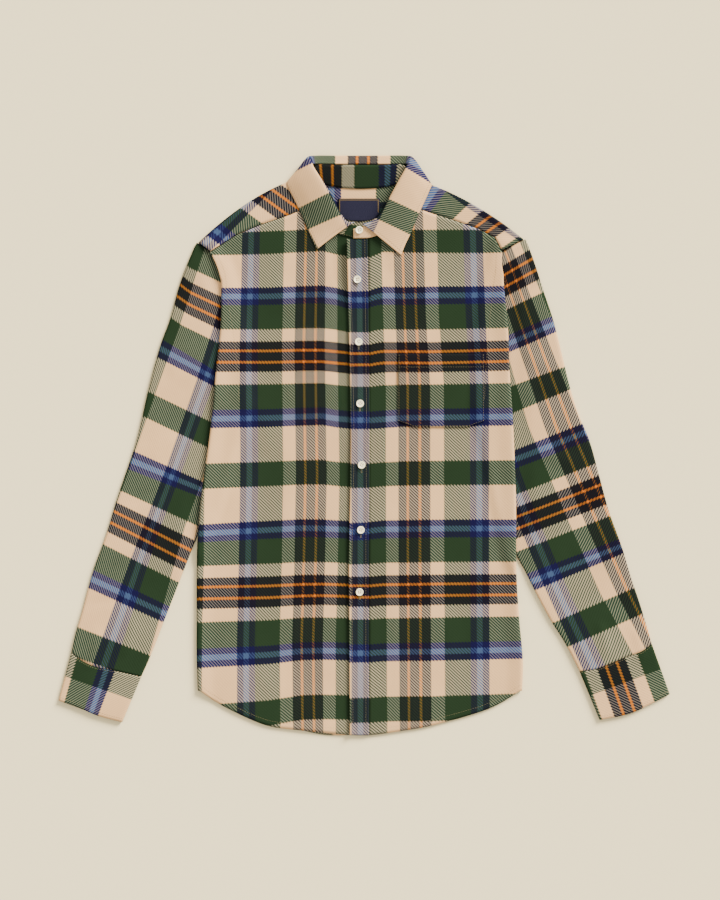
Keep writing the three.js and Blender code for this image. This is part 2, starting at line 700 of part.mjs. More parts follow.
// The front band: a strip laid over the edges of both fronts
const BAND_EDGES = [
  { y: -405, left: -14.2, right: 12.8 },
  { y: -214, left: -15.4, right: 12.6 },
  { y: -160, left: -15.6, right: 12.6 },
  { y: -40, left: -13.4, right: 13.4 },
  { y: 50, left: -13.2, right: 13.6 },
  { y: 260, left: -17.8, right: 11.4 },
  { y: 291, left: -18.4, right: 11.2 },
];

function bandGrid() {
  return evenly(26).map((v) => {
    const y = lerp(BAND_BOTTOM_Y, BAND_TOP_Y, v);
    const left = readCurve(BAND_EDGES, 'y', 'left', y);
    const right = readCurve(BAND_EDGES, 'y', 'right', y);
    return evenly(3).map((u) => {
      const x = lerp(left, right, u);
      const hemRise = readCurve(HEM, 'x', 'front', x) - BAND_BOTTOM_Y;
      const hem = hemRise * smooth((BAND_SQUARE_Y - y) / (BAND_SQUARE_Y - BAND_BOTTOM_Y));
      return new THREE.Vector3(x, y + hem, frontMid(x, y) + LAP);
    });
  });
}

function pocketGrid() {
  return evenly(8).map((v) => evenly(11).map((u) => {
    const x = lerp(POCKET.left, POCKET.right, u);
    const fromEnd = Math.min(x - POCKET.left, POCKET.right - x);
    const bottom = POCKET.bottom + POCKET.chamfer * Math.max(0, 1 - fromEnd / POCKET.corner);
    const y = lerp(bottom, POCKET.top, v);
    return new THREE.Vector3(x, y, frontMid(x, y) + LAP + POCKET_LOFT);
  }));
}

function labelGrid() {
  return evenly(3).map((v) => evenly(5).map((u) => {
    const x = LABEL.x + (u - 0.5) * LABEL.width;
    const y = LABEL.y + (v - 0.5) * LABEL.height;
    return new THREE.Vector3(x, y, WALL + SEAM_GAP + LABEL.wall / 2);
  }));
}

function toSolid(geometry) {
  const plain = geometry.clone();
  plain.deleteAttribute('normal');
  plain.deleteAttribute('uv');
  const merged = mergeVertices(plain, 1e-4);
  const mesh = new wasm.Mesh({
    numProp: 3,
    vertProperties: new Float32Array(merged.attributes.position.array),
    triVerts: new Uint32Array(merged.index.array),
  });
  return new wasm.Manifold(mesh);
}

function fromSolid(solid) {
  const mesh = solid.getMesh();
  const geometry = new THREE.BufferGeometry();
  geometry.setAttribute('position', new THREE.BufferAttribute(new Float32Array(mesh.vertProperties), 3));
  geometry.setIndex(new THREE.BufferAttribute(new Uint32Array(mesh.triVerts), 1));
  return geometry;
}

// A four-hole button with a raised rim and a sunk middle, its underside at z = 0
function buttonGeometry() {
  const { radius, height, rim, dish } = BUTTON;
  const profile = [
    [0, 0],
    [radius * 0.8, 0],
    [radius, height * 0.45],
    [radius - rim * 0.4, height],
    [radius - rim, height],
    [radius - rim * 2, height - dish],
    [0, height - dish],
  ].map(([x, y]) => new THREE.Vector2(x, y));
  const disc = new THREE.LatheGeometry(profile, 14);
  disc.rotateX(Math.PI / 2);
  let solid = toSolid(disc);
  for (const [sx, sy] of [[1, 1], [1, -1], [-1, 1], [-1, -1]]) {
    const hole = new THREE.CylinderGeometry(BUTTON.holeRadius, BUTTON.holeRadius, height * 3, 4);
    hole.rotateX(Math.PI / 2);
    hole.translate(sx * BUTTON.holeOffset, sy * BUTTON.holeOffset, 0);
    solid = solid.subtract(toSolid(hole));
  }
  return fromSolid(solid);
}

const shirt = new THREE.Group();
shirt.name = 'flannel_shirt';

function addPiece(name, geometry, colour, roughness = 0.9) {
  const material = new THREE.MeshStandardMaterial({ color: colour, roughness, metalness: 0 });
  const mesh = new THREE.Mesh(geometry, material);
  mesh.name = name;
  shirt.add(mesh);
  return mesh;
}

addPiece('back', wallAbout(backGrid(), WALL), COLOURS.cloth);
addPiece('yoke', wallAbout(yokeGrid(), WALL), COLOURS.cloth);
for (const side of ['right', 'left']) {
  addPiece(`front_${side}`, wallAbout(frontGrid(side), WALL), COLOURS.cloth);
  addPiece(`sleeve_${side}`, sleeveGeometry(side), COLOURS.cloth);
  addPiece(`cuff_${side}`, cuffGeometry(side), COLOURS.cuff);
}
addPiece('placket', wallAbout(bandGrid(), WALL), COLOURS.band);
addPiece('pocket', wallAbout(pocketGrid(), POCKET.wall), COLOURS.band);
addPiece('collar_stand', wallAbout(sheetThrough(STAND, ['foot', 'head'], 36, 3), WALL), COLOURS.cloth);
addPiece(
  'collar_leaf',
  wallAbout(sheetThrough(LEAF, ['start', 'crest', 'middle', 'edge'], 42, 8), WALL),
  COLOURS.cloth,
);
addPiece('label', wallAbout(labelGrid(), LABEL.wall), COLOURS.label);

BUTTON_SPOTS.forEach(({ x, y }, i) => {
  const button = addPiece(`button_${i + 1}`, buttonGeometry(), COLOURS.button, 0.35);
  button.position.set(x, y, frontMid(x, y) + LAP + HALF + SEAM_GAP);
});
const collarButton = addPiece('button_collar', buttonGeometry(), COLOURS.button, 0.35);
collarButton.position.set(COLLAR_BUTTON.x, COLLAR_BUTTON.y, COLLAR_BUTTON.z);
collarButton.rotation.set(COLLAR_BUTTON.tilt, 0, 0);

export default shirt;
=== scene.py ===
"""A checked flannel shirt lying flat on its back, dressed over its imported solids.

Tables and sizes are in millimetres in the frame of the solids: +Z up, +Y towards the collar and the
wearer's right at -X. Meshes are made in metres. Cloth coordinates run across the warp and along it.
"""

import logging
import math
from collections.abc import Callable, Sequence
from dataclasses import dataclass, field
from enum import Enum
from typing import NamedTuple

import bpy
import numpy as np
from mathutils import Matrix


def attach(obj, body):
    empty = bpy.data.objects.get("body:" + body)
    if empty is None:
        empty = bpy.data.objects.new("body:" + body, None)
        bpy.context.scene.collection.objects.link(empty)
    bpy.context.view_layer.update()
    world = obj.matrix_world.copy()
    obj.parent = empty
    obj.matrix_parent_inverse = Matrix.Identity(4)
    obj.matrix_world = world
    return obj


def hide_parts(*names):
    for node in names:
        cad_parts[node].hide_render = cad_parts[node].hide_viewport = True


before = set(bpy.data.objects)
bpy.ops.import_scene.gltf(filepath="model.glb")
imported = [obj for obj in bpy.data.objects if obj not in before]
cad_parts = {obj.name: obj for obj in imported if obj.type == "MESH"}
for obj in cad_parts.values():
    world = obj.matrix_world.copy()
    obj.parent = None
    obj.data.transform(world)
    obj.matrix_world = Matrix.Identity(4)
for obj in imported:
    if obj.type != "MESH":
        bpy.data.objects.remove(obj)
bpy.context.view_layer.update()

LOG = logging.getLogger("flannel_shirt")
Array = np.ndarray

MM = 0.001
WALL = 1.2
SEAM_GAP = 0.3
AIR = 1.0
AIR_AT_SIDES = 4.4
LAP = WALL + SEAM_GAP
HALF = WALL / 2
GRAIN = 4.0  # size of a mesh cell on the fronts

CLOTH_MAP = "Cloth"
UNIT = 100.0  # millimetres of cloth for one unit of the map


class Side(Enum):
    """A side of the wearer, by the sign of X."""

    RIGHT = -1
    LEFT = 1

    @property
    def word(self) -> str:
        """The side as it stands in the names of the pieces."""
        return self.name.lower()


class Edge(Enum):
    """An edge of a grid of points."""

    FIRST_ROW = 0
    LAST_ROW = 1
    FIRST_COLUMN = 2
    LAST_COLUMN = 3


class Spot(NamedTuple):
    """A place on the flat."""

    x: float
    y: float


class Bar(NamedTuple):
    """A place along the centre front, with the band's two edges there."""

    y: float
    left: float
    right: float


class FoldRow(NamedTuple):
    """Where the side folds lie at one height."""

    y: float
    right: float
    left: float


class HemRow(NamedTuple):
    """How low the front and the back hang at one place."""

    x: float
    front: float
    back: float


class LeafRow(NamedTuple):
    """A section of the collar leaf, from the stand over its crest to the free edge."""

    start: tuple[float, float, float]
    crest: tuple[float, float, float]
    middle: tuple[float, float, float]
    edge: tuple[float, float, float]


class StandRow(NamedTuple):
    """A section of the collar stand."""

    foot: tuple[float, float, float]
    head: tuple[float, float, float]


class ShoulderFold(NamedTuple):
    """The line where the yoke turns to the back, and the back seam's end under it."""

    neck_y: float
    arm: Spot
    bow: float
    back_corner_x: float


class Crease(NamedTuple):
    """A soft ridge, or a trough where height is negative, from one place to another."""

    x0: float
    y0: float
    x1: float
    y1: float
    width: float
    height: float


def column(rows: Sequence[tuple], name: str) -> Array:
    """One named column of a table."""
    return np.array([getattr(row, name) for row in rows], float)


def smooth(t: Array | float) -> Array:
    """An even step from 0 to 1."""
    c = np.clip(t, 0, 1)
    return c * c * (3 - 2 * c)


def mix(a: Array | float, b: Array | float, t: Array | float) -> Array:
    """The value that lies a share t of the way from a to b."""
    return a + (b - a) * t


def read_curve(places: Array, values: Array, at: Array | float) -> Array:
    """Reads a table along a smooth curve through its rows.

    Args:
        places: the column that is looked up, rising or falling.
        values: the column that is read.
        at: where to read it.

    Returns:
        The values there.
    """
    if places[-1] < places[0]:
        places, values = places[::-1], values[::-1]
    last = len(places) - 1
    at = np.asarray(at, float)
    i = np.clip(np.searchsorted(places, at) - 1, 0, last - 1)
    before, after = np.maximum(i - 1, 0), np.minimum(i + 2, last)
    span = places[i + 1] - places[i]
    t = np.clip((at - places[i]) / span, 0, 1)
    slope_a = (values[i + 1] - values[before]) / (places[i + 1] - places[before]) * span
    slope_b = (values[after] - values[i]) / (places[after] - places[i]) * span
    t2, t3 = t * t, t * t * t
    return (
        (2 * t3 - 3 * t2 + 1) * values[i]
        + (t3 - 2 * t2 + t) * slope_a
        + (3 * t2 - 2 * t3) * values[i + 1]
        + (t3 - t2) * slope_b
    )


def spline(points: Array, t: Array) -> Array:
    """Points on a centripetal curve through given ones.

    Args:
        points: the given points, one a row.
        t: shares of the way, by the number of spans.

    Returns:
        The points on the curve, one a row.
    """
    whole = np.vstack([2 * points[0] - points[1], points, 2 * points[-1] - points[-2]])
    spans = len(points) - 1
    place = np.clip(t, 0, 1) * spans
    i = np.minimum(place.astype(int), spans - 1)
    u = (place - i)[:, None]
    p0, p1, p2, p3 = (whole[i + k] for k in range(4))
    d0, d1, d2 = (
        np.sqrt(np.maximum(np.linalg.norm(b - a, axis=1), 1e-6))[:, None]
        for a, b in ((p0, p1), (p1, p2), (p2, p3))
    )
    m1 = ((p1 - p0) / d0 - (p2 - p0) / (d0 + d1) + (p2 - p1) / d1) * d1
    m2 = ((p2 - p1) / d1 - (p3 - p1) / (d1 + d2) + (p3 - p2) / d2) * d1
    u2, u3 = u * u, u * u * u
    return (2 * u3 - 3 * u2 + 1) * p1 + (u3 - 2 * u2 + u) * m1 + (3 * u2 - 2 * u3) * p2 + (u3 - u2) * m2


def along_spline(points: Array, share: Array) -> Array:
    """Points on the same curve, by shares of its length."""
    even = np.linspace(0, 1, 201)
    run = np.linalg.norm(np.diff(spline(points, even), axis=0), axis=1)
    length = np.concatenate([[0], np.cumsum(run)])
    return spline(points, np.interp(share * length[-1], length, even))


def spots(*places: tuple[float, float]) -> tuple[Spot, ...]:
    """Places on the flat, in order."""
    return tuple(Spot(*place) for place in places)


def flat_points(places: Sequence[Spot]) -> Array:
    """Spots as points at height 0."""
    return np.array([[place.x, place.y, 0.0] for place in places])


def distance_to_run(x: Array, y: Array, run: Array) -> Array:
    """Distance of places from a line of straight stretches."""
    least = np.full(np.shape(x), np.inf)
    for a, b in zip(run[:-1], run[1:]):
        d = b - a
        t = np.clip(((x - a[0]) * d[0] + (y - a[1]) * d[1]) / (d @ d), 0, 1)
        least = np.minimum(least, np.hypot(x - a[0] - t * d[0], y - a[1] - t * d[1]))
    return least


def steps(length: float, cell: float) -> int:
    """How many cells of about a given size a length is cut into."""
    return max(2, round(length / cell))


@dataclass
class Relief:
    """The soft unevenness of a laid layer: creases put where they lie, over a gentle swell."""

    creases: Sequence[Crease] = ()
    swell: float = 0.35
    wavelength: float = 95.0
    seed: float = 0.0
    bow: float = 0.06  # of a crease's length
    taper: float = 0.35

    def height(self, x: Array, y: Array) -> Array:
        """Height that the layer stands above its even course."""
        total = self.swell * self.waves(x, y)
        for crease in self.creases:
            total = total + self.ridge(crease, x, y)
        return total

    def waves(self, x: Array, y: Array) -> Array:
        """A slow, irregular swell between 0 and about 2."""
        k = 2 * math.pi / self.wavelength
        s = self.seed
        a = np.sin(k * (0.83 * x + 0.41 * y) + 1.7 + s + 1.1 * np.sin(k * 0.37 * y + s))
        b = np.sin(k * (-0.36 * x + 0.72 * y) + 0.4 + 2.3 * s + 0.9 * np.sin(k * 0.51 * x - s))
        c = np.sin(k * (1.7 * x - 0.3 * y) + 2.9 + 1.3 * s + 1.3 * np.sin(k * 0.6 * y))
        return 1 + 0.45 * a + 0.35 * b + 0.2 * c

    def ridge(self, crease: Crease, x: Array, y: Array) -> Array:
        """One crease, rounded across and fading out at both ends."""
        dx, dy = crease.x1 - crease.x0, crease.y1 - crease.y0
        length = math.hypot(dx, dy)
        t = ((x - crease.x0) * dx + (y - crease.y0) * dy) / length**2
        off = ((x - crease.x0) * dy - (y - crease.y0) * dx) / length
        bow = self.bow * length * np.sin(math.pi * np.clip(t, 0, 1))
        ends = smooth(t / self.taper) * smooth((1 - t) / self.taper)
        return crease.height * ends * np.exp(-(((off - bow) / crease.width) ** 2))


@dataclass
class Patch:
    """A grid of points in the middle of the cloth's thickness, with the cloth's own coordinates.

    A ring's rows close on themselves, and its cloth coordinates have one column more.
    """

    points: Array
    cloth: Array
    ring: bool = False

    def normals(self) -> Array:
        """The outward direction at each point."""
        p = self.points
        if self.ring:
            across = np.roll(p, -1, 1) - np.roll(p, 1, 1)
        else:
            across = np.gradient(p, axis=1)
        normal = np.cross(np.gradient(p, axis=0), across)
        length = np.linalg.norm(normal, axis=2, keepdims=True)
        return normal / np.maximum(length, 1e-9)

    def outward(self) -> int:
        """1 where the normals leave the face that shows, and -1 where they enter it."""
        normal = self.normals()
        if self.ring:
            middle = self.points.mean(axis=1, keepdims=True)
            return 1 if np.sum(normal * (self.points - middle)) > 0 else -1
        return 1 if normal[:, :, 2].mean() > 0 else -1

    def inset(self, edge: Edge, distance: float, lift: float) -> Array:
        """A line on the cloth at a distance inside one of its edges.

        Args:
            edge: the edge that it follows.
            distance: how far in it runs, along the cloth.
            lift: how far above the middle of the wall it lies.

        Returns:
            The points of the line.
        """
        grid = self.points + self.normals() * self.outward() * lift
        if edge in (Edge.FIRST_COLUMN, Edge.LAST_COLUMN):
            grid = grid.transpose(1, 0, 2)
        if edge in (Edge.LAST_ROW, Edge.LAST_COLUMN):
            grid = grid[::-1]
        near_rows = len(grid) * 2 // 3
        grid = grid[:near_rows]
        run = np.linalg.norm(np.diff(grid, axis=0, prepend=grid[:1]), axis=2).cumsum(axis=0)
        line = [
            [np.interp(distance, run[:, k], grid[:, k, axis]) for axis in range(3)]
            for k in range(grid.shape[1])
        ]
        return np.array(line)


@dataclass
class Tailor:
    """Makes the meshes of the cloth, as closed shells about their patches."""

    wall: float = 1.0

    def sew(self, name: str, patch: Patch, material: bpy.types.Material) -> bpy.types.Object:
        """Makes a piece of cloth.

        Args:
            name: the piece's name.
            patch: the piece's form and its cloth coordinates.
            material: its finish.

        Returns:
            The new piece, smooth shaded, with its cloth map.
        """
        rows, columns = patch.points.shape[:2]
        offset = patch.normals() * patch.outward() * self.wall / 2
        layers = [patch.points + offset, patch.points - offset]
        vertices = np.concatenate([layer.reshape(-1, 3) for layer in layers])
        faces, corners = self.faces(patch)
        mesh = bpy.data.meshes.new(name)
        mesh.from_pydata((vertices * MM).tolist(), [], faces.tolist())
        uv = mesh.uv_layers.new(name=CLOTH_MAP)
        cloth = patch.cloth.reshape(-1, 2) / UNIT
        uv.uv.foreach_set("vector", cloth[corners.reshape(-1)].astype(np.float32).reshape(-1))
        mesh.polygons.foreach_set("use_smooth", [True] * len(mesh.polygons))
        mesh.materials.append(material)
        mesh.validate()
        piece = bpy.data.objects.new(name, mesh)
        bpy.context.scene.collection.objects.link(piece)
        LOG.info("%s: %d x %d cells", name, rows - 1, columns - 1)
        return piece

    def faces(self, patch: Patch) -> tuple[Array, Array]:
        """The quads of a shell.

        Args:
            patch: the piece's form.

        Returns:
            The corners of each quad in the list of points, and in the cloth coordinates.
        """
        rows, columns = patch.points.shape[:2]
        cloth_columns = patch.cloth.shape[1]
        layer = rows * columns
        spans = columns if patch.ring else columns - 1
        i, j = np.meshgrid(np.arange(rows - 1), np.arange(spans), indexing="ij")
        nxt = (j + 1) % columns

        def quad(at: Callable[[Array, Array], Array], follow: Array) -> Array:
            """Corners of the cells, in order."""
            return np.stack([at(i, j), at(i, follow), at(i + 1, follow), at(i + 1, j)], -1).reshape(-1, 4)

        top = quad(lambda a, b: a * columns + b, nxt)
        top_cloth = quad(lambda a, b: a * cloth_columns + b, j + 1)
        faces = [top, top[:, ::-1] + layer]
        cloth = [top_cloth, top_cloth[:, ::-1]]
        for edge, edge_cloth in self.rims(rows, columns, cloth_columns, patch.ring):
            a, b = edge[:-1], edge[1:]
            faces.append(np.stack([b, a, a + layer, b + layer], -1))
            a, b = edge_cloth[:-1], edge_cloth[1:]
            cloth.append(np.stack([b, a, a, b], -1))
        faces, cloth = np.concatenate(faces), np.concatenate(cloth)
        if patch.outward() > 0:
            faces, cloth = faces[:, ::-1], cloth[:, ::-1]
        return faces, cloth

    @staticmethod
    def rims(rows: int, columns: int, cloth_columns: int, ring: bool) -> list[tuple[Array, Array]]:
        """The edges of a grid, in order round it, as points and as cloth coordinates."""
        across = np.arange(columns)
        bottom, top = across, (rows - 1) * columns + across
        cloth_bottom = np.arange(cloth_columns)
        cloth_top = (rows - 1) * cloth_columns + cloth_bottom
        if ring:
            bottom = np.append(bottom, bottom[0])
            top = np.append(top, top[0])
            return [(bottom, cloth_bottom), (top[::-1], cloth_top[::-1])]
        up = np.arange(rows)
        start, end = up * columns, up * columns + columns - 1
        return [
            (bottom, cloth_bottom),
            (end, up * cloth_columns + cloth_columns - 1),
            (top[::-1], cloth_top[::-1]),
            (start[::-1], (up * cloth_columns)[::-1]),
        ]


class Thread(NamedTuple):
    """A line of the weave as it lies: its place in the cloth, and spots that it passes through."""

    cloth: float
    spots: tuple[Spot, ...]


def chart(*rows: tuple) -> tuple[Thread, ...]:
    """Threads from rows of a cloth place and the spots of that thread."""
    return tuple(Thread(cloth, spots(*places)) for cloth, *places in rows)


@dataclass(frozen=True)
class Lay:
    """How the woven check lies on a piece, as charted.

    Warp threads run down the piece and are read at one height. Weft threads cross it.
    """

    warp: tuple[Thread, ...]
    weft: tuple[Thread, ...]

    def cloth(self, x: Array, y: Array) -> Array:
        """Cloth coordinates of places: across the warp and along it."""
        return np.stack([self.read(self.warp, y, x, "y", "x"), self.read(self.weft, x, y, "x", "y")], -1)

    @staticmethod
    def read(threads: Sequence[Thread], run: Array, at: Array, run_key: str, at_key: str) -> Array:
        """Reads one cloth coordinate between charted threads.

        Args:
            threads: the charted threads, in their order on the piece.
            run: the coordinate that the threads run along.
            at: the coordinate that they are apart in.
            run_key: the name of the first.
            at_key: the name of the second.

        Returns:
            The cloth's places.
        """
        lines = []
        for thread in threads:
            places, values = column(thread.spots, run_key), column(thread.spots, at_key)
            order = np.argsort(places)
            lines.append(reach(places[order], values[order], run))
        result = None
        for k in range(len(threads) - 1):
            share = (at - lines[k]) / (lines[k + 1] - lines[k])
            value = mix(threads[k].cloth, threads[k + 1].cloth, share)
            result = value if result is None else np.where(share > 0, value, result)
        return result


def reach(places: Array, values: Array, at: Array) -> Array:
    """Reads a table by straight runs, which go on past its ends."""
    i = np.clip(np.searchsorted(places, at) - 1, 0, len(places) - 2)
    share = (at - places[i]) / (places[i + 1] - places[i])
    return mix(values[i], values[i + 1], share)


SIDE_FOLD = (
    FoldRow(-344, -226.6, 226.4),
    FoldRow(-298, -228.2, 227.5),
    FoldRow(-242, -228.2, 222.6),
    FoldRow(-175, -228.2, 218.4),
    FoldRow(-130, -226.8, 218.0),
    FoldRow(-74, -222.2, 217.7),
    FoldRow(5, -211.4, 215.0),
    FoldRow(59, -205.1, 212.2),
    FoldRow(107, -201.3, 208.9),
    FoldRow(165, -195.0, 206.6),
    FoldRow(218, -193.7, 201.6),
    FoldRow(240, -195.2, 199.8),
    FoldRow(256, -200.5, 197.3),
    FoldRow(274, -209.0, 197.8),
)

HEM = (
    HemRow(-227, -341, -322),
    HemRow(-205, -356.6, -331),
    HemRow(-166, -376.6, -352),
    HemRow(-129, -390.9, -378),
    HemRow(-87, -396.6, -395),
    HemRow(-52, -400.0, -403.2),
    HemRow(-15, -403.0, -403.8),
    HemRow(14, -403.6, -401),
    HemRow(57, -398.0, -395),
    HemRow(92, -392.3, -389),
    HemRow(121, -385.1, -381),
    HemRow(152, -376.6, -366),
    HemRow(182, -366.7, -346),
    HemRow(204, -355.9, -331),
    HemRow(227, -341.0, -322),
)

FRONT_TOP = {
    Side.RIGHT: spots(
        (-209, 273), (-193, 284.2), (-173, 297.2), (-140, 310.8), (-99, 324.8),
        (-67, 339), (-54, 320), (-34, 304), (-12, 296), (9, 295),
    ),
    Side.LEFT: spots(
        (198, 274.4), (189, 293), (167, 305), (127, 319), (98, 328),
        (67, 339), (54, 320), (34, 304), (20, 297), (11.5, 295),
    ),
}
YOKE_SEAM_ROWS = 6  # the rows above that lie on the yoke's front seam

ARMHOLE = {
    Side.RIGHT: spots(
        (-227, 286), (-209, 273), (-196, 240), (-186, 200), (-178, 150), (-173, 100),
        (-170.8, 58.8),
    ),
    Side.LEFT: spots(
        (230.3, 290.8), (199, 274), (191, 240), (186, 200), (181, 150), (177.5, 100), (176, 62),
    ),
}

SLEEVE_OUTER = {
    Side.RIGHT: spots(
        (-227.2, 286), (-236.5, 268), (-252, 228), (-266, 178), (-278.6, 144), (-296.8, 77),
        (-312.2, 10), (-340.2, -74), (-355.6, -125), (-373.8, -175), (-388, -228),
        (-398, -262), (-403.6, -287),
    ),
    Side.LEFT: spots(
        (230.3, 290.8), (240, 269), (259, 211.4), (270.2, 177.8), (282.8, 127.4), (295.4, 77),
        (306.6, 43.4), (320.6, 9.8), (334.6, -40.6), (348.6, -91), (366.8, -141.4),
        (379.4, -183.4), (393.4, -225.4), (408.2, -275.8),
    ),
}
SLEEVE_INNER = {
    Side.RIGHT: spots(
        (-170.8, 58.8), (-219.8, -102.2), (-235.2, -141.4), (-254.8, -191.8),
        (-274.4, -242.2), (-294, -292.6), (-306.6, -321),
    ),
    Side.LEFT: spots(
        (176, 62), (218.4, -147), (232.4, -175), (249.2, -208.6),
        (267.4, -242.2), (288.4, -275.8), (307.9, -313.8),
    ),
}
WRIST = {
    Side.RIGHT: spots(
        (-403.6, -287), (-398, -293), (-373.8, -306.4), (-348.2, -311.8), (-306.6, -321),
    ),
    Side.LEFT: spots(
        (408.2, -275.8), (392.6, -286.6), (372.8, -293.8), (328.7, -311), (307.9, -313.8),
    ),
}
CUFF_EDGE = {
    Side.RIGHT: spots((-421.7, -354.9), (-389, -366.8), (-369, -375.4), (-333.5, -385.2)),
    Side.LEFT: spots((433.3, -346), (410, -358), (378, -373), (336, -382.1)),
}

FRONT_CREASES = (
    Crease(-27, 305, -24, 215, 8, -3.0),
    Crease(-25, 225, -23, 60, 5, -1.2),
    Crease(-190.8, 304, -193, 250, 5.0, -4.0),
    Crease(24, 300, 46, 232, 9, -1.6),
    Crease(-205, 158, -118, 66, 15, 1.3),
    Crease(-196, 96, -128, 10, 12, -0.9),
    Crease(198, 150, 122, 70, 14, 1.2),
    Crease(204, 88, 150, -14, 13, -0.8),
    Crease(-96, 40, -70, -190, 20, 1.1),
    Crease(-140, -120, -132, -360, 16, 1.2),
    Crease(-62, -210, -58, -385, 14, -0.9),
    Crease(92, 10, 104, -230, 22, 1.0),
    Crease(60, -150, 66, -380, 15, 1.1),
    Crease(150, -160, 158, -345, 17, -0.9),
    Crease(-128, 250, -70, 170, 16, 0.9),
    Crease(120, 240, 84, 160, 15, 0.8),
)

SLEEVE_CREASES = {
    Side.RIGHT: (
        Crease(-214, 228, -262, 196, 7, -1.3),
        Crease(-222, 150, -272, 92, 10, 1.5),
        Crease(-232, 96, -290, 46, 8, -1.1),
        Crease(-240, 20, -306, -30, 10, 1.4),
        Crease(-262, -60, -330, -84, 8, -1.0),
        Crease(-282, -130, -352, -170, 11, 1.3),
        Crease(-322, -214, -392, -226, 8, -0.9),
        Crease(-336, -300, -318, -228, 9, 1.3),
        Crease(-384, -318, -366, -246, 8, 1.2),
    ),
    Side.LEFT: (
        Crease(222, 212, 262, 236, 6, -1.3),
        Crease(224, 140, 280, 100, 9, 1.4),
        Crease(236, 84, 296, 62, 8, -1.1),
        Crease(244, 6, 316, -26, 11, 1.5),
        Crease(272, -70, 334, -92, 8, -1.0),
        Crease(290, -140, 362, -160, 10, 1.3),
        Crease(330, -222, 396, -216, 8, -0.9),
        Crease(346, -302, 330, -236, 8, 1.3),
        Crease(396, -312, 378, -240, 9, 1.2),
    ),
}


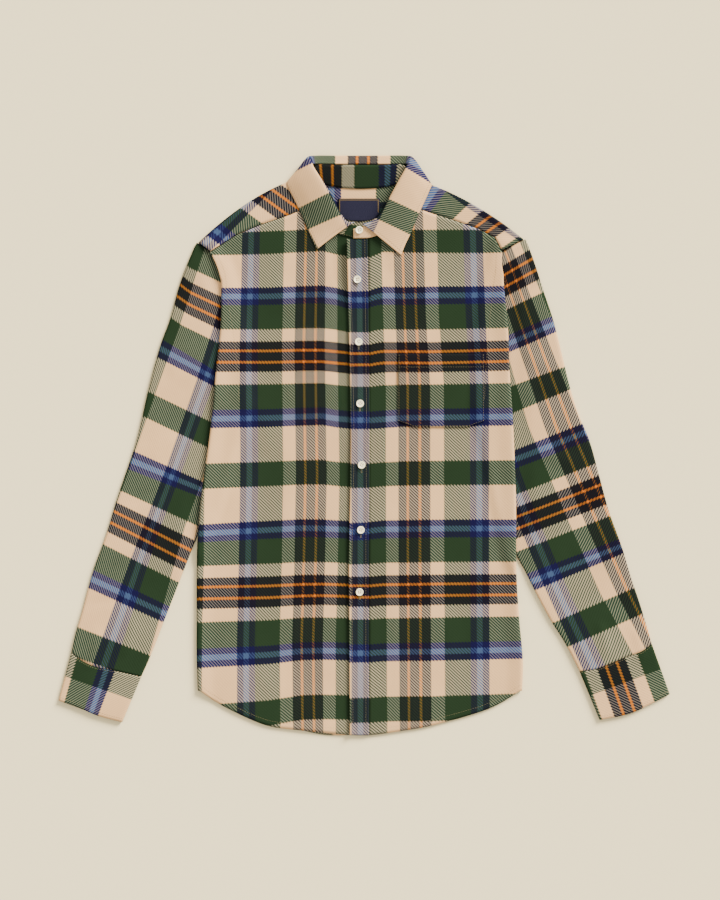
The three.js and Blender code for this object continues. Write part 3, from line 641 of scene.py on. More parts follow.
@dataclass
class Body:
    """The back, both fronts, the yoke, the front band and the pocket."""

    hem_corner_y: float = -341.0
    side_seam_hem_y: float = -334.0
    side_seam_in: float = 30.0
    yoke_seam_y: float = 270.0
    armhole_top_y: float = 238.0
    yoke_tuck: float = 5.0
    lift: float = 3.7
    lift_at_armhole: float = 2.8
    lift_change: float = 40.0
    lift_margin: float = 5.0
    lift_fall: float = 17.0
    side_rounding: float = 25.0
    underarm_step: float = 5.0
    underarm_curve: float = 45.0
    armhole_edge: float = 0.8
    band_top_y: float = 290.8
    band_bottom_y: float = -405.0
    band_square_y: float = -380.0
    band_roll: float = 2.6
    band_roll_top: float = 3.2
    band_roll_width: float = 9.0
    pocket_left: float = 53.0
    pocket_right: float = 174.0
    pocket_top: float = 130.0
    pocket_bottom: float = 28.0
    pocket_corner: float = 23.0
    pocket_chamfer: float = 8.0
    pocket_loft: float = 0.6
    crease_floor: float = -0.7
    crease_floor_on_lift: float = 0.8
    seam_rows: int = 10
    seam_turn: float = math.pi / 10
    turn_cells: int = 6
    seam_rise_y: float = -250.0
    seam_rise_over: float = 90.0
    seam_lap: float = 2.0
    back_rows: int = 96
    back_columns: int = 61
    relief: Relief = field(default_factory=lambda: Relief(FRONT_CREASES))

    BAND_EDGES = (
        Bar(-405, -14.2, 12.8),
        Bar(-214, -15.4, 12.6),
        Bar(-160, -15.6, 12.6),
        Bar(-40, -13.4, 13.4),
        Bar(50, -13.2, 13.6),
        Bar(260, -17.8, 11.4),
        Bar(291, -18.4, 11.2),
    )

    def side_fold(self, side: Side, y: Array) -> Array:
        """X of a visible side fold."""
        return read_curve(column(SIDE_FOLD, "y"), column(SIDE_FOLD, side.word), y)

    def hem(self, layer: str, x: Array) -> Array:
        """Y of the front's or the back's hem."""
        return read_curve(column(HEM, "x"), column(HEM, layer), x)

    def armhole(self, side: Side, y: Array) -> Array:
        """X of an armhole seam."""
        return read_curve(column(ARMHOLE[side], "y"), column(ARMHOLE[side], "x"), y)

    def lift_at(self, x: Array, y: Array, with_armhole: bool) -> Array:
        """How far a layer is lifted by the sleeve under the side of the body.

        Args:
            x: places across.
            y: places along.
            with_armhole: for a layer that lies over the sleeve head too.

        Returns:
            The heights.
        """
        x, y = np.broadcast_arrays(np.asarray(x, float), np.asarray(y, float))
        total = np.zeros(x.shape)
        for side in Side:
            hidden = SLEEVE_INNER[side][:3]
            under, low = hidden[0], hidden[-1]
            run = [*ARMHOLE[side][1:], *hidden[1:]] if with_armhole else hidden
            above = y > under.y
            low_x = read_curve(column(hidden, "y"), column(hidden, "x"), y)
            edge = np.where(above, self.armhole(side, y), low_x)
            inside = (y > low.y) & (np.abs(x) > np.abs(edge)) & (with_armhole | ~above)
            margin = self.lift_margin + (self.yoke_tuck if with_armhole else 0)
            distance = np.maximum(0, distance_to_run(x, y, np.array(run)) - margin)
            distance = np.where(inside, 0, distance)
            height = mix(self.lift, self.lift_at_armhole, smooth((y - under.y) / self.lift_change))
            mine = np.where(x < 0, -1, 1) == side.value
            total = np.where(mine, height * smooth(1 - distance / self.lift_fall), total)
        return total

    def back_mid(self, x: Array, y: Array) -> Array:
        """Height of the middle of the back's wall."""
        return HALF + self.lift_at(x, y, False)

    def front_mid(self, x: Array, y: Array) -> Array:
        """Height of the middle of the fronts' wall, with their creases."""
        fold = np.where(x < 0, np.abs(self.side_fold(Side.RIGHT, y)), self.side_fold(Side.LEFT, y))
        inwards = fold - np.abs(x)
        air = mix(AIR_AT_SIDES, AIR, smooth(inwards / self.side_rounding))
        lift = self.lift_at(x, y, True)
        relief = self.relief.height(x, y) * smooth(inwards / self.side_rounding)
        relief = np.maximum(relief, self.crease_floor - self.crease_floor_on_lift * lift)
        return HALF + lift + WALL + air + relief

    def top_run(self, side: Side, cell: float) -> tuple[Array, Array]:
        """X and Y of places along the top edge of a front, from the centre out."""
        corners = np.array(FRONT_TOP[side][::-1], float)
        xs, ys = [corners[:1, 0]], [corners[:1, 1]]
        for a, b in zip(corners[:-1], corners[1:]):
            t = np.linspace(0, 1, steps(float(np.hypot(*(b - a))), cell) + 1)[1:]
            xs.append(mix(a[0], b[0], t))
            ys.append(mix(a[1], b[1], t))
        return np.concatenate(xs), np.concatenate(ys)

    def front(self, side: Side, lay: Lay) -> Patch:
        """A front: its top layer, its side fold and the strip under it.

        Args:
            side: the wearer's side.
            lay: how the check lies on it.

        Returns:
            The form.
        """
        sign = side.value
        top_x, top_y = self.top_run(side, GRAIN)
        under_y = ARMHOLE[side][-1].y
        lower = np.linspace(self.hem_corner_y, under_y, steps(under_y - self.hem_corner_y, GRAIN))
        upper_start = under_y + self.underarm_step
        upper = np.linspace(upper_start, self.armhole_top_y, steps(self.armhole_top_y - upper_start, GRAIN))
        seam = np.linspace(self.armhole_top_y, FRONT_TOP[side][0].y, self.seam_rows)[1:]
        edge_y = np.concatenate([lower, upper, seam])
        whole = edge_y < under_y + 1
        part = np.where(edge_y > self.armhole_top_y - 1, self.seam_turn, np.pi / 2)
        turn = np.where(whole, np.pi, part)
        radius = (WALL + AIR_AT_SIDES) / 2
        start_x = self.side_fold(side, edge_y) - sign * radius * np.sin(np.minimum(turn, np.pi / 2))
        v = (edge_y - self.hem_corner_y) / (top_y[-1] - self.hem_corner_y)
        u = (top_x - top_x[0]) / (top_x[-1] - top_x[0])
        bottom = self.hem("front", mix(top_x[0], self.side_fold(side, self.hem_corner_y), u))
        x = mix(top_x[0], start_x[:, None], u[None, :])
        y = mix(bottom[None, :], top_y[None, :], v[:, None])
        z = self.front_mid(x, y)
        shown = [np.stack([x, y, z], -1)]
        cloth = [lay.cloth(x, y)]
        start = shown[0][:, -1:]
        share = np.linspace(0, 1, self.turn_cells + 1)[1:]
        angle = turn[:, None] * share[None, :]
        fold_x = start[..., 0] + sign * radius * np.sin(angle)
        fold_z = start[..., 2] - radius * (1 - np.cos(angle))
        fold_y = np.repeat(start[..., 1], len(share), 1)
        shown.append(np.stack([fold_x, fold_y, fold_z], -1))
        arc = start[..., 0] + sign * radius * angle
        cloth.append(lay.cloth(arc, fold_y))
        end = shown[1][:, -1:]
        spread = np.where(whole, self.side_seam_in, self.armhole_edge)[:, None]
        low = smooth((self.seam_rise_y - end[..., 1]) / self.seam_rise_over)
        rise = low * (self.side_seam_hem_y - self.hem_corner_y)
        run = spread * share[None, :]
        strip_x = end[..., 0] + sign * run * np.cos(turn)[:, None]
        strip_y = end[..., 1] + rise * share[None, :]
        under_z = self.back_mid(strip_x, strip_y)
        strip_z = np.where(whole[:, None], under_z, end[..., 2] - run * np.sin(turn)[:, None])
        shown.append(np.stack([strip_x, strip_y, strip_z], -1))
        cloth.append(lay.cloth(arc[:, -1:] + sign * run, strip_y))
        return Patch(np.concatenate(shown, 1), np.concatenate(cloth, 1))

    def back_edge(self, side: Side, y: Array) -> Array:
        """X of the back's side seam and armhole."""
        sign = side.value
        under = ARMHOLE[side][-1]
        seam = self.side_fold(side, y) - sign * (self.side_seam_in + self.seam_lap)
        low = mix(under.x - sign * 2 * SEAM_GAP, seam, smooth((under.y - y) / self.underarm_curve))
        return np.where(y > under.y, self.armhole(side, y) - sign * 2 * SEAM_GAP, low)

    def back(self, lay: Lay) -> Patch:
        """The back, on the surface between the side seams and up over the sleeves."""
        top_y = self.yoke_seam_y - SEAM_GAP
        v = np.linspace(0, 1, self.back_rows)
        edge_y = mix(self.side_seam_hem_y, top_y, v)
        right, left = self.back_edge(Side.RIGHT, edge_y), self.back_edge(Side.LEFT, edge_y)
        u = np.linspace(0, 1, self.back_columns)
        x = mix(right[:, None], left[:, None], u[None, :])
        y = mix(self.hem("back", x), top_y, v[:, None])
        return Patch(np.stack([x, y, self.back_mid(x, y)], -1), lay.cloth(x, y))


@dataclass
class Yoke:
    """The yoke, from the front seams over the shoulder folds to the back."""

    body: Body
    neck_fold_x: float = 70.0
    front_seam_gap: float = 0.5
    columns: int = 45
    near_fold: float = 0.93
    front_rows: int = 9
    fold_cells: int = 8
    back_rows: int = 13

    FOLD = {
        Side.RIGHT: ShoulderFold(neck_y=381.0, arm=Spot(-225.4, 286.4), bow=14.0, back_corner_x=206.4),
        Side.LEFT: ShoulderFold(neck_y=376.0, arm=Spot(228.2, 290.8), bow=11.0, back_corner_x=196.2),
    }
    BACK = ((62.0, 373.0, 1.0), (48.0, 369.0, 0.7), (28.0, 366.0, 0.38), (0.0, 365.0, 0.0))

    def half(self, side: Side, lay: Lay, back_lay: Lay) -> tuple[Array, Array]:
        """Half of the yoke.

        Args:
            side: the wearer's side.
            lay: how the check lies in front of the shoulder fold.
            back_lay: how it lies behind.

        Returns:
            Its rows of points, from the front seam to the middle of the back, and their cloth.
        """
        sign = side.value
        line = self.FOLD[side]
        corners = np.array(FRONT_TOP[side][:YOKE_SEAM_ROWS][::-1], float)
        run = np.concatenate([[0], np.cumsum(np.hypot(*np.diff(corners, axis=0).T))])
        t = np.linspace(0, 1, self.columns)
        seam = np.column_stack([np.interp(t * run[-1], run, corners[:, k]) for k in range(2)])
        seam = seam + [0, self.front_seam_gap]
        t = t[:, None]
        neck = np.array([sign * self.neck_fold_x, line.neck_y])
        fold = mix(neck, np.array(line.arm), t) + np.array([0, 1]) * line.bow * 4 * t * (1 - t)
        rows, cloth = [], []
        for share in np.linspace(0, self.near_fold, self.front_rows):
            place = mix(seam, fold, share)
            z = self.body.front_mid(place[:, 0], place[:, 1])
            rows.append(np.column_stack([place, z]))
            cloth.append(lay.cloth(place[:, 0], place[:, 1])[:, ::-1])
        radius = (self.body.front_mid(fold[:, 0], fold[:, 1]) - HALF) / 2
        for angle in np.linspace(0, np.pi, self.fold_cells + 1)[1:]:
            y = fold[:, 1] + (np.sin(angle) - 1) * radius
            rows.append(np.column_stack([fold[:, 0], y, HALF + radius * (1 + np.cos(angle))]))
            here, behind = (each.cloth(fold[:, 0], fold[:, 1]) for each in (lay, back_lay))
            cloth.append(mix(here, behind, angle / np.pi)[:, ::-1])
        neck_x, neck_y, across = (np.array(c) for c in zip(*self.BACK))
        for k in np.linspace(0, len(self.BACK) - 1, self.back_rows):
            i = np.arange(len(self.BACK))
            start = np.array([sign * np.interp(k, i, neck_x), np.interp(k, i, neck_y)])
            end = np.array([sign * np.interp(k, i, across) * line.back_corner_x, self.body.yoke_seam_y])
            place = mix(start, end, t)
            rows.append(np.column_stack([place, np.full(len(t), HALF)]))
            cloth.append(back_lay.cloth(place[:, 0], place[:, 1])[:, ::-1])
        return np.array(rows), np.array(cloth)

    def patch(self, lays: dict[Side, Lay], back_lay: Lay) -> Patch:
        """The whole yoke."""
        right, right_cloth = self.half(Side.RIGHT, lays[Side.RIGHT], back_lay)
        left, left_cloth = self.half(Side.LEFT, lays[Side.LEFT], back_lay)
        points = np.concatenate([right, left[::-1][1:]])
        return Patch(points, np.concatenate([right_cloth, left_cloth[::-1][1:]]))


@dataclass
class Trim:
    """The front band and the pocket, which lie on the fronts."""

    body: Body
    band_rows: int = 240
    band_columns: int = 13
    roll_from_y: float = 180.0
    roll_over: float = 80.0
    pocket_rows: int = 35
    pocket_columns: int = 41

    def band(self, lay: Lay) -> Patch:
        """The front band."""
        b = self.body
        v = np.linspace(0, 1, self.band_rows)[:, None]
        y = mix(b.band_bottom_y, b.band_top_y, v)
        places = column(b.BAND_EDGES, "y")
        left = read_curve(places, column(b.BAND_EDGES, "left"), y)
        right = read_curve(places, column(b.BAND_EDGES, "right"), y)
        x = mix(left, right, np.linspace(0, 1, self.band_columns)[None, :])
        square = smooth((b.band_square_y - y) / (b.band_square_y - b.band_bottom_y))
        roll = b.band_roll + b.band_roll_top * smooth((y - self.roll_from_y) / self.roll_over)
        z = b.front_mid(x, y) + LAP + roll * smooth(1 - (x - left) / b.band_roll_width)
        y = y + (b.hem("front", x) - b.band_bottom_y) * square
        return Patch(np.stack([x, y, z], -1), lay.cloth(x, y))

    def pocket(self, lay: Lay) -> Patch:
        """The chest pocket, with its lower corners cut off."""
        b = self.body
        x = np.linspace(b.pocket_left, b.pocket_right, self.pocket_columns)[None, :]
        from_end = np.minimum(x - b.pocket_left, b.pocket_right - x)
        bottom = b.pocket_bottom + b.pocket_chamfer * np.maximum(0, 1 - from_end / b.pocket_corner)
        y = mix(bottom, b.pocket_top, np.linspace(0, 1, self.pocket_rows)[:, None])
        x = x + 0 * y
        z = b.front_mid(x, y) + LAP + b.pocket_loft
        return Patch(np.stack([x, y, z], -1), lay.cloth(x, y))


@dataclass
class Sleeve:
    """One sleeve and its cuff, each a flattened tube."""

    side: Side
    body: Body
    relief: Relief
    pressed: float = 3.4
    height: float = 5.0
    head: float = 5.2
    free_below_y: float = -190.0
    seen_from: float = 6.0
    seen_rise: float = 24.0
    head_share: float = 0.04
    arm_clearance: float = 1.2
    cuff_wall: float = 1.8
    cuff_height: float = 5.4
    tuck_from: float = 0.03
    tuck_over: float = 0.15
    tuck_to: float = 0.5
    tuck_fades_over: float = 0.2
    head_over: float = 22.0
    free_over: float = 30.0
    free_head_y: float = 200.0
    free_head_over: float = 60.0
    head_cells: int = 4
    head_end: float = 0.045
    rows: int = 150
    columns: int = 36
    cuff_rows: int = 20
    cuff_columns: int = 30

    EDGE = ((0.0, 0.5), (0.25, 0.72), (0.7, 0.86), (1.5, 0.96), (2.8, 1.0))

    def two_layers(self, x: Array, y: Array) -> tuple[Array, Array]:
        """Height of both layers of the sleeve together, and how free the top one is."""
        head = mix(self.pressed, self.head, smooth((y - self.body.armhole_top_y) / self.head_over))
        under = mix(self.height, head, smooth((y - self.free_below_y) / self.free_over))
        free = mix(self.height, self.head, smooth((y - self.free_head_y) / self.free_head_over))
        past = np.abs(x) - np.abs(self.body.side_fold(self.side, np.maximum(y, self.free_below_y)))
        seen = smooth((past - self.seen_from) / self.seen_rise)
        return mix(under, free, seen), seen

    def tube(self, rows: Callable[[Array, Array, Array], Array], shares: Array, across: int,
             wall: float, height: Callable[[Array, Array], Array]) -> tuple[Array, Array]:
        """A flattened tube about an outline.

        Args:
            rows: gives the points for shares across and along, and a rise.
            shares: the places of the rows.
            across: cells across each layer.
            wall: thickness of the cloth.
            height: gives the height of the middle of the top layer.

        Returns:
            The points, and the rise of each.
        """
        grids, rises = [], []
        for t in shares:
            ends = rows(np.array([0.0, 1.0]), t, np.array([1.0, 1.0]))
            width = float(np.linalg.norm(ends[1] - ends[0]))
            inset = np.array([row[0] for row in self.EDGE]) / width
            rise = np.array([row[1] for row in self.EDGE])
            middle = np.arange(1, across) / across
            middle = middle[(middle > inset[-1] * 1.5) & (middle < 1 - inset[-1] * 1.5)]
            middle = np.linspace(middle[0], middle[-1], across - 1)
            upper = np.concatenate([inset, middle, 1 - inset[::-1]])
            upper_rise = np.concatenate([rise, np.ones(len(middle)), rise[::-1]])
            s = np.concatenate([upper, upper[1:-1][::-1]])
            r = np.concatenate([upper_rise, 1 - upper_rise[1:-1][::-1]])
            place = rows(s, t, r)
            z = wall / 2 + r * (height(place[:, 0], place[:, 1]) - wall)
            bump = self.relief.height(place[:, 0], place[:, 1]) * smooth((r - 0.5) * 2)
            z = z + bump * self.free(place[:, 0], place[:, 1])
            grids.append(np.column_stack([place[:, :2], z]))
            rises.append(r)
        return np.array(grids), np.array(rises)

    def top_height(self, x: Array, y: Array) -> Array:
        """Height of the sleeve's top layer."""
        return self.two_layers(x, y)[0]

    def free(self, x: Array, y: Array) -> Array:
        """How free the top layer is to rise: 0 under the body and 1 beside it."""
        return self.two_layers(x, y)[1]

    def outline(self, s: Array, t: float, rise: Array) -> Array:
        """Places on the sleeve's plan, from the outer fold across and from the armhole down."""
        outer, inner = flat_points(SLEEVE_OUTER[self.side]), flat_points(SLEEVE_INNER[self.side])
        wrist = flat_points(WRIST[self.side])
        ends = along_spline(outer, np.array([0.0, t, 1.0])), along_spline(inner, np.array([0.0, t, 1.0]))
        across = s[:, None]
        armhole = ARMHOLE[self.side]
        head_y = mix(armhole[0].y, armhole[-1].y, s)
        start = np.column_stack([self.body.armhole(self.side, head_y), head_y, 0 * head_y])
        point = mix(ends[0][1], ends[1][1], across)
        point = point + (start - mix(ends[0][0], ends[1][0], across)) * (1 - t)
        point = point + (along_spline(wrist, s) - mix(ends[0][2], ends[1][2], across)) * t
        grows = smooth((s - self.tuck_from) / self.tuck_over)
        fades = smooth((self.tuck_to - s) / self.tuck_fades_over)
        tuck = self.body.yoke_tuck * grows * fades
        shift = np.where(rise > 0.5, tuck, 0) - self.arm_clearance
        point[:, 0] -= self.side.value * shift * smooth(1 - t / self.head_share)
        return point

    def sleeve(self, lay: Lay) -> Patch:
        """The sleeve."""
        head = np.linspace(0, self.head_end, self.head_cells + 1)
        shares = np.concatenate([head, np.linspace(self.head_end, 1, self.rows)[1:]])
        points, rise = self.tube(self.outline, shares, self.columns, WALL, self.top_height)
        return self.wrapped(points, rise, lay)

    def cuff(self, lay: Lay) -> Patch:
        """The cuff, a seam's gap past the end of the sleeve."""
        wrist, free = flat_points(WRIST[self.side]), flat_points(CUFF_EDGE[self.side])

        def outline(s: Array, t: float, rise: Array) -> Array:
            """Places on the cuff's plan."""
            start, end = along_spline(wrist, s), along_spline(free, s)
            way = end - start
            start = start + way / np.linalg.norm(way, axis=1, keepdims=True) * 2 * SEAM_GAP
            return mix(start, end, t)

        def height(x: Array, y: Array) -> Array:
            """Height of the cuff's top layer, the same all over."""
            return np.full(np.shape(x), self.cuff_height)

        shares = np.linspace(0, 1, self.cuff_rows)
        points, rise = self.tube(outline, shares, self.cuff_columns, self.cuff_wall, height)
        return self.wrapped(points, rise, lay, order=-1)

    @staticmethod
    def wrapped(points: Array, rise: Array, lay: Lay, order: int = 1) -> Patch:
        """A tube whose check turns round its outer fold and meets in a seam at its inner one.

        Args:
            points: the tube.
            rise: 1 on its upper layer and 0 on its lower one.
            lay: how the check lies on the upper layer.
            order: -1 where the weft, which covers more, runs down the piece.

        Returns:
            The form.
        """
        upper = rise >= 0.5
        outer = points[:, :1]
        mirrored = np.where(upper[..., None], points, 2 * outer - points)
        cloth = lay.cloth(points[..., 0], points[..., 1])
        under = lay.cloth(mirrored[..., 0], points[..., 1])
        cloth = np.where(upper[..., None], cloth, under)[..., ::order]
        return Patch(points, np.concatenate([cloth, cloth[:, :1]], 1), ring=True)


LEAF = (
    LeafRow((-7, 314.0, 8.0), (-10, 313, 9.6), (-36, 295, 7.6), (-60.2, 276.6, 5.2)),
    LeafRow((-17.5, 315, 9.0), (-20, 314, 10.6), (-44, 302, 8.4), (-66.6, 290, 4.6)),
    LeafRow((-26.6, 325.4, 11), (-29, 324.6, 12.6), (-53, 314.6, 9.4), (-73.6, 305, 4.4)),
    LeafRow((-40, 351.4, 14), (-42.4, 350.4, 15.6), (-66, 340, 11.6), (-84.6, 331, 4.6)),
    LeafRow((-53.2, 372.4, 16), (-55.4, 371.6, 17.6), (-76, 361, 13.4), (-92.6, 347.6, 5.0)),
    LeafRow((-65, 391, 15), (-67, 391.6, 16.8), (-85, 378.4, 12.4), (-99.4, 361, 5.4)),
    LeafRow((-66, 395, 12), (-71.4, 405, 11.6), (-89, 386, 7), (-101.8, 371.2, 3.6)),
    LeafRow((-61, 395.9, 9), (-61, 407.2, 6.4), (-63, 396, 2.0), (-64, 379, 1.1)),
    LeafRow((-34, 395.9, 7.4), (-34, 407.4, 4.8), (-34, 396, 1.4), (-36, 373, 0.9)),
    LeafRow((0, 395.9, 7.0), (0, 407.4, 4.6), (0, 396, 1.3), (0, 370, 0.9)),
    LeafRow((34, 395.9, 7.4), (34, 407.4, 4.8), (34, 396, 1.4), (36, 373, 0.9)),
    LeafRow((61, 395.9, 9), (61, 407.2, 6.4), (63, 396, 2.0), (64, 379, 1.1)),
    LeafRow((66, 395, 12), (71.4, 405, 11.6), (89, 384, 7), (99.6, 368.4, 3.6)),
    LeafRow((65, 391, 15), (67, 391.6, 16.8), (84, 376, 12.4), (96.6, 358, 5.4)),
    LeafRow((54.6, 372.4, 16), (56.8, 371.6, 17.6), (76, 358, 13.4), (90.4, 344, 5.0)),
    LeafRow((42.7, 350.7, 14), (45, 349.6, 15.6), (66, 336, 11.6), (83, 328, 4.6)),
    LeafRow((28, 324.4, 11), (30.4, 323.4, 12.6), (52, 310, 9.4), (71.4, 300, 4.4)),
    LeafRow((15.4, 315, 9), (18, 314, 10.6), (42, 298, 8.4), (63.6, 284, 4.6)),
    LeafRow((2.8, 311.5, 8.4), (5.6, 310, 10), (32, 289, 7.6), (57.4, 268.2, 5.2)),
)

STAND = (
    StandRow((7, 293, 4.4), (7, 308.5, 6.0)),
    StandRow((-12, 293.4, 4.4), (-8.4, 310.4, 6.2)),
    StandRow((-34, 301, 4.4), (-20.4, 312, 7.4)),
    StandRow((-55, 317, 4.4), (-30.4, 323, 9.2)),
    StandRow((-68, 337, 4.4), (-44, 348.6, 12)),
    StandRow((-73.4, 356, 4.5), (-57, 369.6, 14)),
    StandRow((-70.6, 369, 4.4), (-64.4, 386, 13.6)),
    StandRow((-58, 369, 3.4), (-60, 394.2, 8.8)),
    StandRow((-34, 364, 2.2), (-34, 394.6, 7.2)),
    StandRow((0, 361.6, 2.1), (0, 394.6, 6.8)),
    StandRow((34, 364, 2.2), (34, 394.6, 7.2)),
    StandRow((58, 369, 3.4), (60, 394.2, 8.8)),
    StandRow((70.6, 369, 4.4), (64.4, 386, 13.6)),
    StandRow((73.4, 356, 4.5), (58.4, 369.6, 14)),
    StandRow((68, 337, 4.4), (46.6, 348, 12)),
    StandRow((55, 317, 4.4), (32, 322, 9.2)),
    StandRow((34, 301, 4.6), (19.6, 311.8, 7.6)),
    StandRow((14, 293, 5.6), (5.4, 308.6, 7.6)),
    StandRow((-9.4, 292, 6.2), (-9.4, 305, 7.4)),
)


@dataclass
class Collar:
    """The stand round the neck, the leaf that folds over it, and the bare label inside."""

    leaf_black_x: float = 3.9
    leaf_cream: float = 104.0
    corner_row: float = 6.0
    stand_black_x: float = 48.3
    stand_green: float = 39.0
    stand_end_green: float = 181.0
    stand_end_cream: float = 224.0
    stand_back_half: float = 62.0
    label_x: float = -1.5
    label_y: float = 332.0
    label_width: float = 58.0
    label_height: float = 32.0
    label_square: float = 0.1
    label_tip: float = 0.999
    label_loft: float = 0.5
    label_rows: int = 22
    label_columns: int = 25
    leaf_cells: tuple[int, int] = (168, 24)
    stand_cells: tuple[int, int] = (150, 9)
    stand_turn: float = 0.7

    @staticmethod
    def surface(rows: Sequence[tuple], keys: Sequence[str], along: int, across: int) -> Array:
        """A sheet through a table of sections.

        Args:
            rows: the table.
            keys: its columns, in order across the sheet.
            along: cells along the table.
            across: cells across each section.

        Returns:
            The points.
        """
        t = np.linspace(0, 1, along + 1)
        rails = [spline(np.array([getattr(row, key) for row in rows], float), t) for key in keys]
        s = np.linspace(0, 1, across + 1)
        if len(keys) == 2:
            return mix(rails[0][:, None], rails[1][:, None], s[None, :, None])
        return np.array([spline(np.array(section), s) for section in zip(*rails)])

    def leaf(self, lays: dict[Side, Lay]) -> Patch:
        """The leaf.

        Args:
            lays: how the check lies on its two front ends.

        Returns:
            The form, whose check runs on behind the neck from one end to the other.
        """
        along, across = self.leaf_cells
        points = self.surface(LEAF, ("start", "crest", "middle", "edge"), along, across)
        x, y = points[..., 0], points[..., 1]
        row = np.linspace(0, len(LEAF) - 1, along + 1)[:, None]
        behind = smooth(row - self.corner_row) * smooth(len(LEAF) - 1 - self.corner_row - row)
        down = np.cumsum(np.linalg.norm(np.diff(points, axis=1, prepend=points[:, :1]), axis=2), axis=1)
        back = np.stack([self.leaf_cream + down, x - self.leaf_black_x], -1)
        ends = np.where((x < 0)[..., None], lays[Side.RIGHT].cloth(x, y), lays[Side.LEFT].cloth(x, y))
        return Patch(points, mix(ends, back, behind[..., None]))

    def stand(self) -> Patch:
        """The stand, whose check is read by its own length and depth."""
        points = self.surface(STAND, ("foot", "head"), *self.stand_cells)
        line = points[:, points.shape[1] // 2]
        run = np.linalg.norm(np.diff(line, axis=0, prepend=line[:1]), axis=1).cumsum()
        run = np.repeat((run - run[-1] / 2)[:, None], points.shape[1], 1)
        down = np.cumsum(np.linalg.norm(np.diff(points, axis=1, prepend=points[:, :1]), axis=2), axis=1)
        half, back_half = run.max(), self.stand_back_half
        along = np.interp(run, (-half, -back_half, back_half, half), (
            -self.stand_end_green, self.stand_black_x - back_half,
            self.stand_black_x + back_half, self.stand_end_cream))
        turns = back_half, half * self.stand_turn
        depth = down + np.interp(run, turns, (self.stand_green, self.leaf_cream))
        return Patch(points, np.stack([depth, along], -1))

    def label(self) -> Patch:
        """The label, sewn flat to the inside of the yoke."""
        v = np.sin(np.linspace(0, np.pi / 2, self.label_rows))[:, None] - 0.5
        below = np.clip((self.label_square - v) / (self.label_square + 0.5), 0, self.label_tip)
        u = np.linspace(-0.5, 0.5, self.label_columns)[None, :]
        x = self.label_x + u * self.label_width * np.sqrt(1 - below**3)
        y = self.label_y + v * self.label_height
        x, y = x + 0 * y, y + 0 * x
        z = np.full(x.shape, WALL + SEAM_GAP + self.label_loft)
        return Patch(np.stack([x, y, z], -1), np.stack([x - self.label_x, y - self.label_y], -1))


@dataclass
class Button:
    """A four-hole button with a raised rim, sewn on through its holes."""

    radius: float = 5.25
    height: float = 2.6
    rim: float = 1.1
    dish: float = 0.8
    hole_radius: float = 0.75
    hole_offset: float = 1.3
    around: int = 48
    hole_sides: int = 14

    def profile(self) -> list[tuple[float, float]]:
        """Half of the section, from the middle of the underside to the middle of the top."""
        r, h, rim, dish = self.radius, self.height, self.rim, self.dish
        return [
            (0, 0), (r * 0.6, 0), (r * 0.82, 0.1), (r * 0.95, h * 0.26), (r, h * 0.5),
            (r * 0.985, h * 0.72), (r - rim * 0.32, h * 0.93), (r - rim * 0.62, h),
            (r - rim * 0.95, h * 0.96), (r - rim * 1.35, h - dish * 0.7), (r - rim * 1.8, h - dish),
            (r * 0.45, h - dish), (0, h - dish),
        ]

    def disc(self, name: str) -> bpy.types.Object:
        """The turned disc with its four holes cut through."""
        profile = self.profile()
        angle = np.linspace(0, 2 * np.pi, self.around, endpoint=False)
        vertices = [(0, 0, profile[0][1])]
        for r, z in profile[1:-1]:
            vertices += [(r * math.cos(a), r * math.sin(a), z) for a in angle]
        vertices.append((0, 0, profile[-1][1]))
        n, last = self.around, len(vertices) - 1
        faces = [(0, 1 + (j + 1) % n, 1 + j) for j in range(n)]
        for k in range(len(profile) - 3):
            a, b = 1 + k * n, 1 + (k + 1) * n
            faces += [(a + j, a + (j + 1) % n, b + (j + 1) % n, b + j) for j in range(n)]
        top = 1 + (len(profile) - 3) * n
        faces += [(top + j, top + (j + 1) % n, last) for j in range(n)]
        disc = mesh_object(name, np.array(vertices, float), faces)
        for sx, sy in ((1, 1), (1, -1), (-1, 1), (-1, -1)):
            self.drill(disc, sx * self.hole_offset, sy * self.hole_offset)
        return disc

    def drill(self, disc: bpy.types.Object, x: float, y: float) -> None:
        """Cuts one hole."""
        n = self.hole_sides
        angle = np.linspace(0, 2 * np.pi, n, endpoint=False)
        ring = np.column_stack([x + self.hole_radius * np.cos(angle), y + self.hole_radius * np.sin(angle)])
        low = np.column_stack([ring, np.full(n, -1.0)])
        high = np.column_stack([ring, np.full(n, self.height + 1)])
        faces = [tuple(range(n))[::-1], tuple(range(n, 2 * n))]
        faces += [(j, (j + 1) % n, n + (j + 1) % n, n + j) for j in range(n)]
        drill = mesh_object("drill", np.vstack([low, high]), faces)
        cut = disc.modifiers.new("hole", "BOOLEAN")
        cut.operation, cut.object, cut.solver = "DIFFERENCE", drill, "EXACT"
        apply_modifiers(disc)
        bpy.data.objects.remove(drill)


def mesh_object(
    name: str, vertices: Array, faces: Sequence[Sequence[int]], shade: bool = True
) -> bpy.types.Object:
    """A new object from points in millimetres.

    Args:
        name: the object's name.
        vertices: its points.
        faces: the corners of its faces.
        shade: whether it is shaded smooth.

    Returns:
        The object, linked to the scene.
    """
    mesh = bpy.data.meshes.new(name)
    mesh.from_pydata((np.asarray(vertices) * MM).tolist(), [], [list(face) for face in faces])
    mesh.polygons.foreach_set("use_smooth", [shade] * len(mesh.polygons))
    mesh.update()
    made = bpy.data.objects.new(name, mesh)
    bpy.context.scene.collection.objects.link(made)
    return made


def apply_modifiers(made: bpy.types.Object) -> None:
    """Replaces an object's mesh by the one that its modifiers give."""
    shaped = bpy.data.meshes.new_from_object(made.evaluated_get(bpy.context.evaluated_depsgraph_get()))
    made.modifiers.clear()
    made.data = shaped


